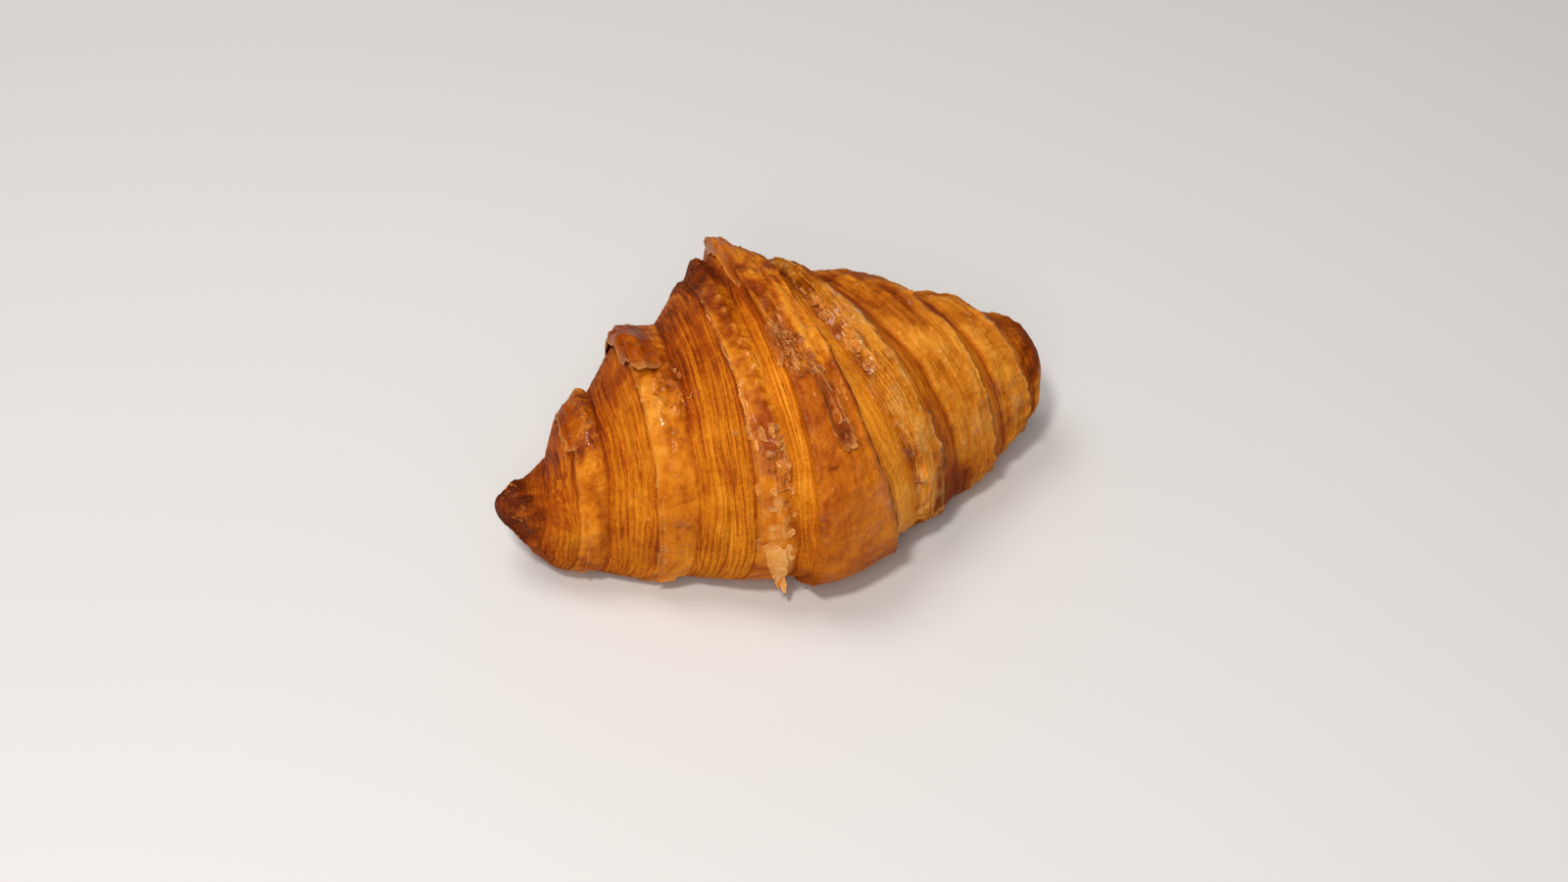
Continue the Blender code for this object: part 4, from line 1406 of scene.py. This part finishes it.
class CroissantColours(bpy.types.PropertyGroup):
    """Colours of the crust, from the least baked to the most"""
    gold: colour_property("Gold", "Least baked skin", linear(230, 150, 46))
    caramel: colour_property("Caramel", "Glazed skin", linear(204, 116, 18))
    brown: colour_property("Brown", "Well baked skin", linear(150, 64, 2))
    deep: colour_property("Deep brown", "Darkest glazed skin", linear(104, 38, 6))
    rust: colour_property("Rust", "Grooves between the blunt half's turns", linear(190, 88, 16))
    rust_dark: colour_property("Dark rust", "The darkest lines in those grooves", linear(128, 44, 4))
    burnt: colour_property("Burnt", "Tips and corners", linear(84, 28, 6))
    layer_light: colour_property("Light layer", "Palest edge of a layer", linear(240, 160, 50))
    layer: colour_property("Layer", "Edge of a layer", linear(208, 120, 16))
    layer_dark: colour_property("Dark layer", "Groove between two layers", linear(164, 72, 6))
    flake: colour_property("Flake", "Dry torn skin", linear(232, 172, 100))
    floor: colour_property("Floor", "Surface that the croissant lies on", (0.70, 0.69, 0.68))


def dress(piece, material):
    """Gives a piece its material and its place in the frame."""
    piece.data.materials.append(material)
    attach(piece, "root")
    return piece


class CROISSANT_OT_crust(bpy.types.Operator):
    """Build the whole crust with its stepped turns, layers and blisters"""
    bl_idname = "croissant.crust"
    bl_label = "Crust"

    def execute(self, context):
        crust = dress(build_crust(context.scene.croissant_looks),
                      crust_material(context.scene.croissant_colours))
        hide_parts("croissant")
        return {"FINISHED"}


class CROISSANT_OT_lifted_skin(bpy.types.Operator):
    """Build the sheets of glazed skin that lift off the lips of the turns"""
    bl_idname = "croissant.lifted_skin"
    bl_label = "Lifted Skin"

    def execute(self, context):
        piece = sheets_object("lifted_skin", LIFTED_SKIN, context.scene.croissant_looks)
        dress(piece, loose_skin_material(context.scene.croissant_colours, "lifted_skin", 0.8))
        return {"FINISHED"}


class CROISSANT_OT_pale_flakes(bpy.types.Operator):
    """Build the dry flakes where the skin is torn"""
    bl_idname = "croissant.pale_flakes"
    bl_label = "Pale Flakes"

    def execute(self, context):
        piece = sheets_object("pale_flakes", PALE_FLAKES, context.scene.croissant_looks)
        dress(piece, loose_skin_material(context.scene.croissant_colours, "dry_flake", 1.0))
        return {"FINISHED"}


class CROISSANT_OT_crumbs(bpy.types.Operator):
    """Build the small shards that lie on the crust"""
    bl_idname = "croissant.crumbs"
    bl_label = "Crumbs"

    def execute(self, context):
        piece = sheets_object("crumbs", crumb_sheets(), context.scene.croissant_looks)
        dress(piece, loose_skin_material(context.scene.croissant_colours, "crumb", 1.0))
        return {"FINISHED"}


def add_light(name, place, size, power, colour):
    """A round lamp that points at the croissant."""
    light = bpy.data.lights.new(name, "AREA")
    light.shape = "DISK"
    light.size = size
    light.energy = power
    light.color = colour
    lamp = bpy.data.objects.new(name, light)
    lamp.location = place
    lamp.rotation_euler = (Vector(LIT_PLACE) - Vector(place)).to_track_quat("-Z", "Y").to_euler()
    bpy.context.scene.collection.objects.link(lamp)


def add_camera(target, azimuth, elevation, distance, lens):
    """A camera that looks at the target from a distance, its azimuth counted from the front."""
    turn, tilt = math.radians(azimuth), math.radians(elevation)
    back = Vector((math.sin(turn) * math.cos(tilt), -math.cos(turn) * math.cos(tilt), math.sin(tilt)))
    camera = bpy.data.objects.new("camera", bpy.data.cameras.new("camera"))
    camera.data.lens = lens
    camera.data.sensor_width = 36.0
    camera.data.clip_start = 0.01
    camera.location = Vector(target) + distance * back
    camera.rotation_euler = back.to_track_quat("Z", "Y").to_euler()
    bpy.context.scene.collection.objects.link(camera)
    bpy.context.scene.camera = camera


FLOOR_REACH = 3.0
ROOM_COLOUR = (1.0, 0.98, 0.95, 1.0)
ROOM_STRENGTH = 0.25
LIT_PLACE = (0.0, 0.0, 0.03)
SEEN_PLACE = (0.0044, 0.0021, 0.015)
# name, place, size, power and colour
LAMPS = (
    ("overhead", (-0.30, 0.20, 1.1), 0.6, 4.8, (1.0, 0.98, 0.95)),
    ("front", (-0.45, -0.9, 0.9), 0.6, 5.2, (1.0, 0.96, 0.92)),
    ("key", (-0.35, -0.45, 1.0), 0.14, 6.2, (1.0, 0.97, 0.93)),
)


class CROISSANT_OT_stage(bpy.types.Operator):
    """Set up the pale floor, the soft lights and the camera"""
    bl_idname = "croissant.stage"
    bl_label = "Stage"

    def execute(self, context):
        corners = FLOOR_REACH * np.array([(-1, -1, 0), (1, -1, 0), (1, 1, 0), (-1, 1, 0)])
        floor = mesh_object("floor", corners, [(0, 1, 2, 3)], {})
        floor.data.materials.append(floor_material(context.scene.croissant_colours))

        world = bpy.data.worlds.new("soft_room")
        world.use_nodes = True
        background = world.node_tree.nodes["Background"]
        background.inputs["Color"].default_value = ROOM_COLOUR
        background.inputs["Strength"].default_value = ROOM_STRENGTH
        context.scene.world = world
        context.scene.view_settings.view_transform = "Standard"
        for lamp in LAMPS:
            add_light(*lamp)
        add_camera(SEEN_PLACE, azimuth=-20.28, elevation=44.0, distance=0.741, lens=60.0)
        return {"FINISHED"}


class CROISSANT_PT_panel(bpy.types.Panel):
    """Sizes, colours and pieces of the croissant"""
    bl_label = "Croissant"
    bl_idname = "CROISSANT_PT_panel"
    bl_space_type = "VIEW_3D"
    bl_region_type = "UI"
    bl_category = "Croissant"

    def draw(self, context):
        column = self.layout.column(align=True)
        for group in (context.scene.croissant_looks, context.scene.croissant_colours):
            for name in group.__annotations__:
                column.prop(group, name)
            column.separator()
        for operator in OPERATORS:
            column.operator(operator.bl_idname)


GROUPS = (CroissantLooks, CroissantColours)
OPERATORS = (CROISSANT_OT_crust, CROISSANT_OT_lifted_skin, CROISSANT_OT_pale_flakes,
             CROISSANT_OT_crumbs, CROISSANT_OT_stage)


def register():
    for item in (*GROUPS, *OPERATORS, CROISSANT_PT_panel):
        bpy.utils.register_class(item)
    bpy.types.Scene.croissant_looks = PointerProperty(type=CroissantLooks)
    bpy.types.Scene.croissant_colours = PointerProperty(type=CroissantColours)


def unregister():
    del bpy.types.Scene.croissant_colours
    del bpy.types.Scene.croissant_looks
    for item in (CROISSANT_PT_panel, *OPERATORS[::-1], *GROUPS[::-1]):
        bpy.utils.unregister_class(item)


def main():
    register()
    for operator in OPERATORS:
        group, name = operator.bl_idname.split(".")
        getattr(getattr(bpy.ops, group), name)()


if __name__ == "__main__":
    main()
